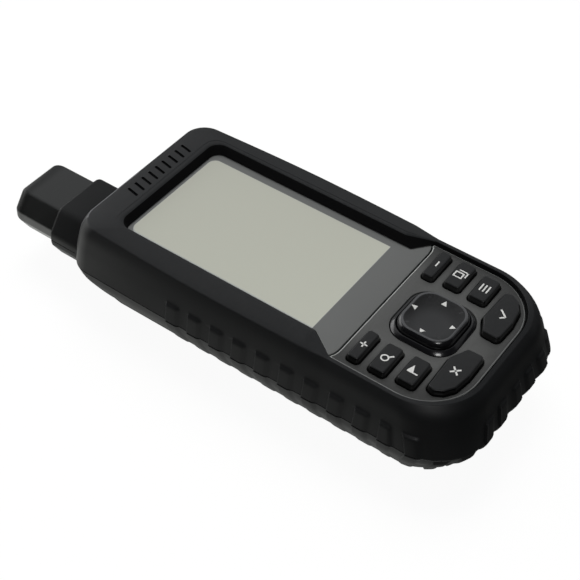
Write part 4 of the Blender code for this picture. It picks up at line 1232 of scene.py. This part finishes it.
# soft glow from above and behind the unit, fading to dim on the camera's side
wtc = nt.nodes.new("ShaderNodeTexCoord")
dotn = nt.nodes.new("ShaderNodeVectorMath")
dotn.operation = 'DOT_PRODUCT'
nt.links.new(wtc.outputs["Generated"], dotn.inputs[0])
dotn.inputs[1].default_value = Vector((0.33, 0.64, 0.69)).normalized()
wmr = nt.nodes.new("ShaderNodeMapRange")
wmr.interpolation_type = 'SMOOTHSTEP'
wmr.inputs["From Min"].default_value = 0.50
wmr.inputs["From Max"].default_value = 0.985
wmr.inputs["To Min"].default_value = 0.03
wmr.inputs["To Max"].default_value = 0.50
nt.links.new(dotn.outputs["Value"], wmr.inputs["Value"])
# low fill on the side away from the camera, so that the controls there read
dot2 = nt.nodes.new("ShaderNodeVectorMath")
dot2.operation = 'DOT_PRODUCT'
nt.links.new(wtc.outputs["Generated"], dot2.inputs[0])
dot2.inputs[1].default_value = Vector((0.95, -0.25, 0.20)).normalized()
wm2 = nt.nodes.new("ShaderNodeMapRange")
wm2.interpolation_type = 'SMOOTHSTEP'
wm2.inputs["From Min"].default_value = 0.72
wm2.inputs["From Max"].default_value = 0.97
wm2.inputs["To Min"].default_value = 0.0
wm2.inputs["To Max"].default_value = 0.42
nt.links.new(dot2.outputs["Value"], wm2.inputs["Value"])
wad = nt.nodes.new("ShaderNodeMath")
wad.operation = 'ADD'
nt.links.new(wmr.outputs[0], wad.inputs[0])
nt.links.new(wm2.outputs[0], wad.inputs[1])
nt.links.new(wad.outputs[0], bg2.inputs["Strength"])
nt.links.new(lp.outputs["Is Camera Ray"], mx.inputs[0])
nt.links.new(bg2.outputs[0], mx.inputs[1])
nt.links.new(bg1.outputs[0], mx.inputs[2])
nt.links.new(mx.outputs[0], wo.inputs[0])


def area(name, loc, target, size, power, col=(1, 1, 1)):
    d = bpy.data.lights.new(name, 'AREA')
    d.shape = 'RECTANGLE'
    d.size, d.size_y = size
    d.energy = power
    d.color = col
    o = bpy.data.objects.new(name, d)
    SC.collection.objects.link(o)
    o.location = loc
    o.rotation_mode = 'QUATERNION'
    o.rotation_quaternion = (Vector(target) - Vector(loc)).to_track_quat('-Z', 'Y')
    return o


top = area("softbox_top", (0.22, 0.18, 0.9), (0, 0, 0), (0.6, 0.6), 6.2)
top.visible_glossy = False
area("lamp_front", (-0.46, -0.46, 0.62), (0, -0.05, 0.03), (0.25, 0.18), 1.3)
area("lamp_back", (-0.02, 0.85, 0.22), (0, 0.02, 0.03), (0.90, 0.42), 1.9)

# camera from the photograph's viewing angle, solved on the model's own points
CAM = dict(az=-56.83, el=45.66, roll=3.05, dist=391.07, f=1340.11, cx=285.06, cy=289.86, target=(-14.22, 15.15 - 28.0, -0.52 + 34.5))


def look(az, el, roll):
    a, e = radians(az), radians(el)
    z = np.array([sin(a) * cos(e), -cos(a) * cos(e), sin(e)])
    x = np.cross((0, 0, 1.0), z)
    x /= np.linalg.norm(x)
    y = np.cross(z, x)
    r = radians(roll)
    return np.array([cos(r) * x + sin(r) * y, -sin(r) * x + cos(r) * y, z])


Rm = look(CAM["az"], CAM["el"], CAM["roll"])
Cp = (np.array(CAM["target"]) + Rm[2] * CAM["dist"]) * MM
cd = bpy.data.cameras.new("camera")
cd.sensor_width = 36
cd.lens = CAM["f"] / 580 * 36
cd.shift_x = (290 - CAM["cx"]) / 580
cd.shift_y = (CAM["cy"] - 290) / 580
cd.clip_start, cd.clip_end = 0.01, 20
cam = bpy.data.objects.new("camera", cd)
SC.collection.objects.link(cam)
cam.matrix_world = Matrix(((Rm[0][0], Rm[1][0], Rm[2][0], Cp[0]), (Rm[0][1], Rm[1][1], Rm[2][1], Cp[1]), (Rm[0][2], Rm[1][2], Rm[2][2], Cp[2]), (0, 0, 0, 1)))
SC.camera = cam
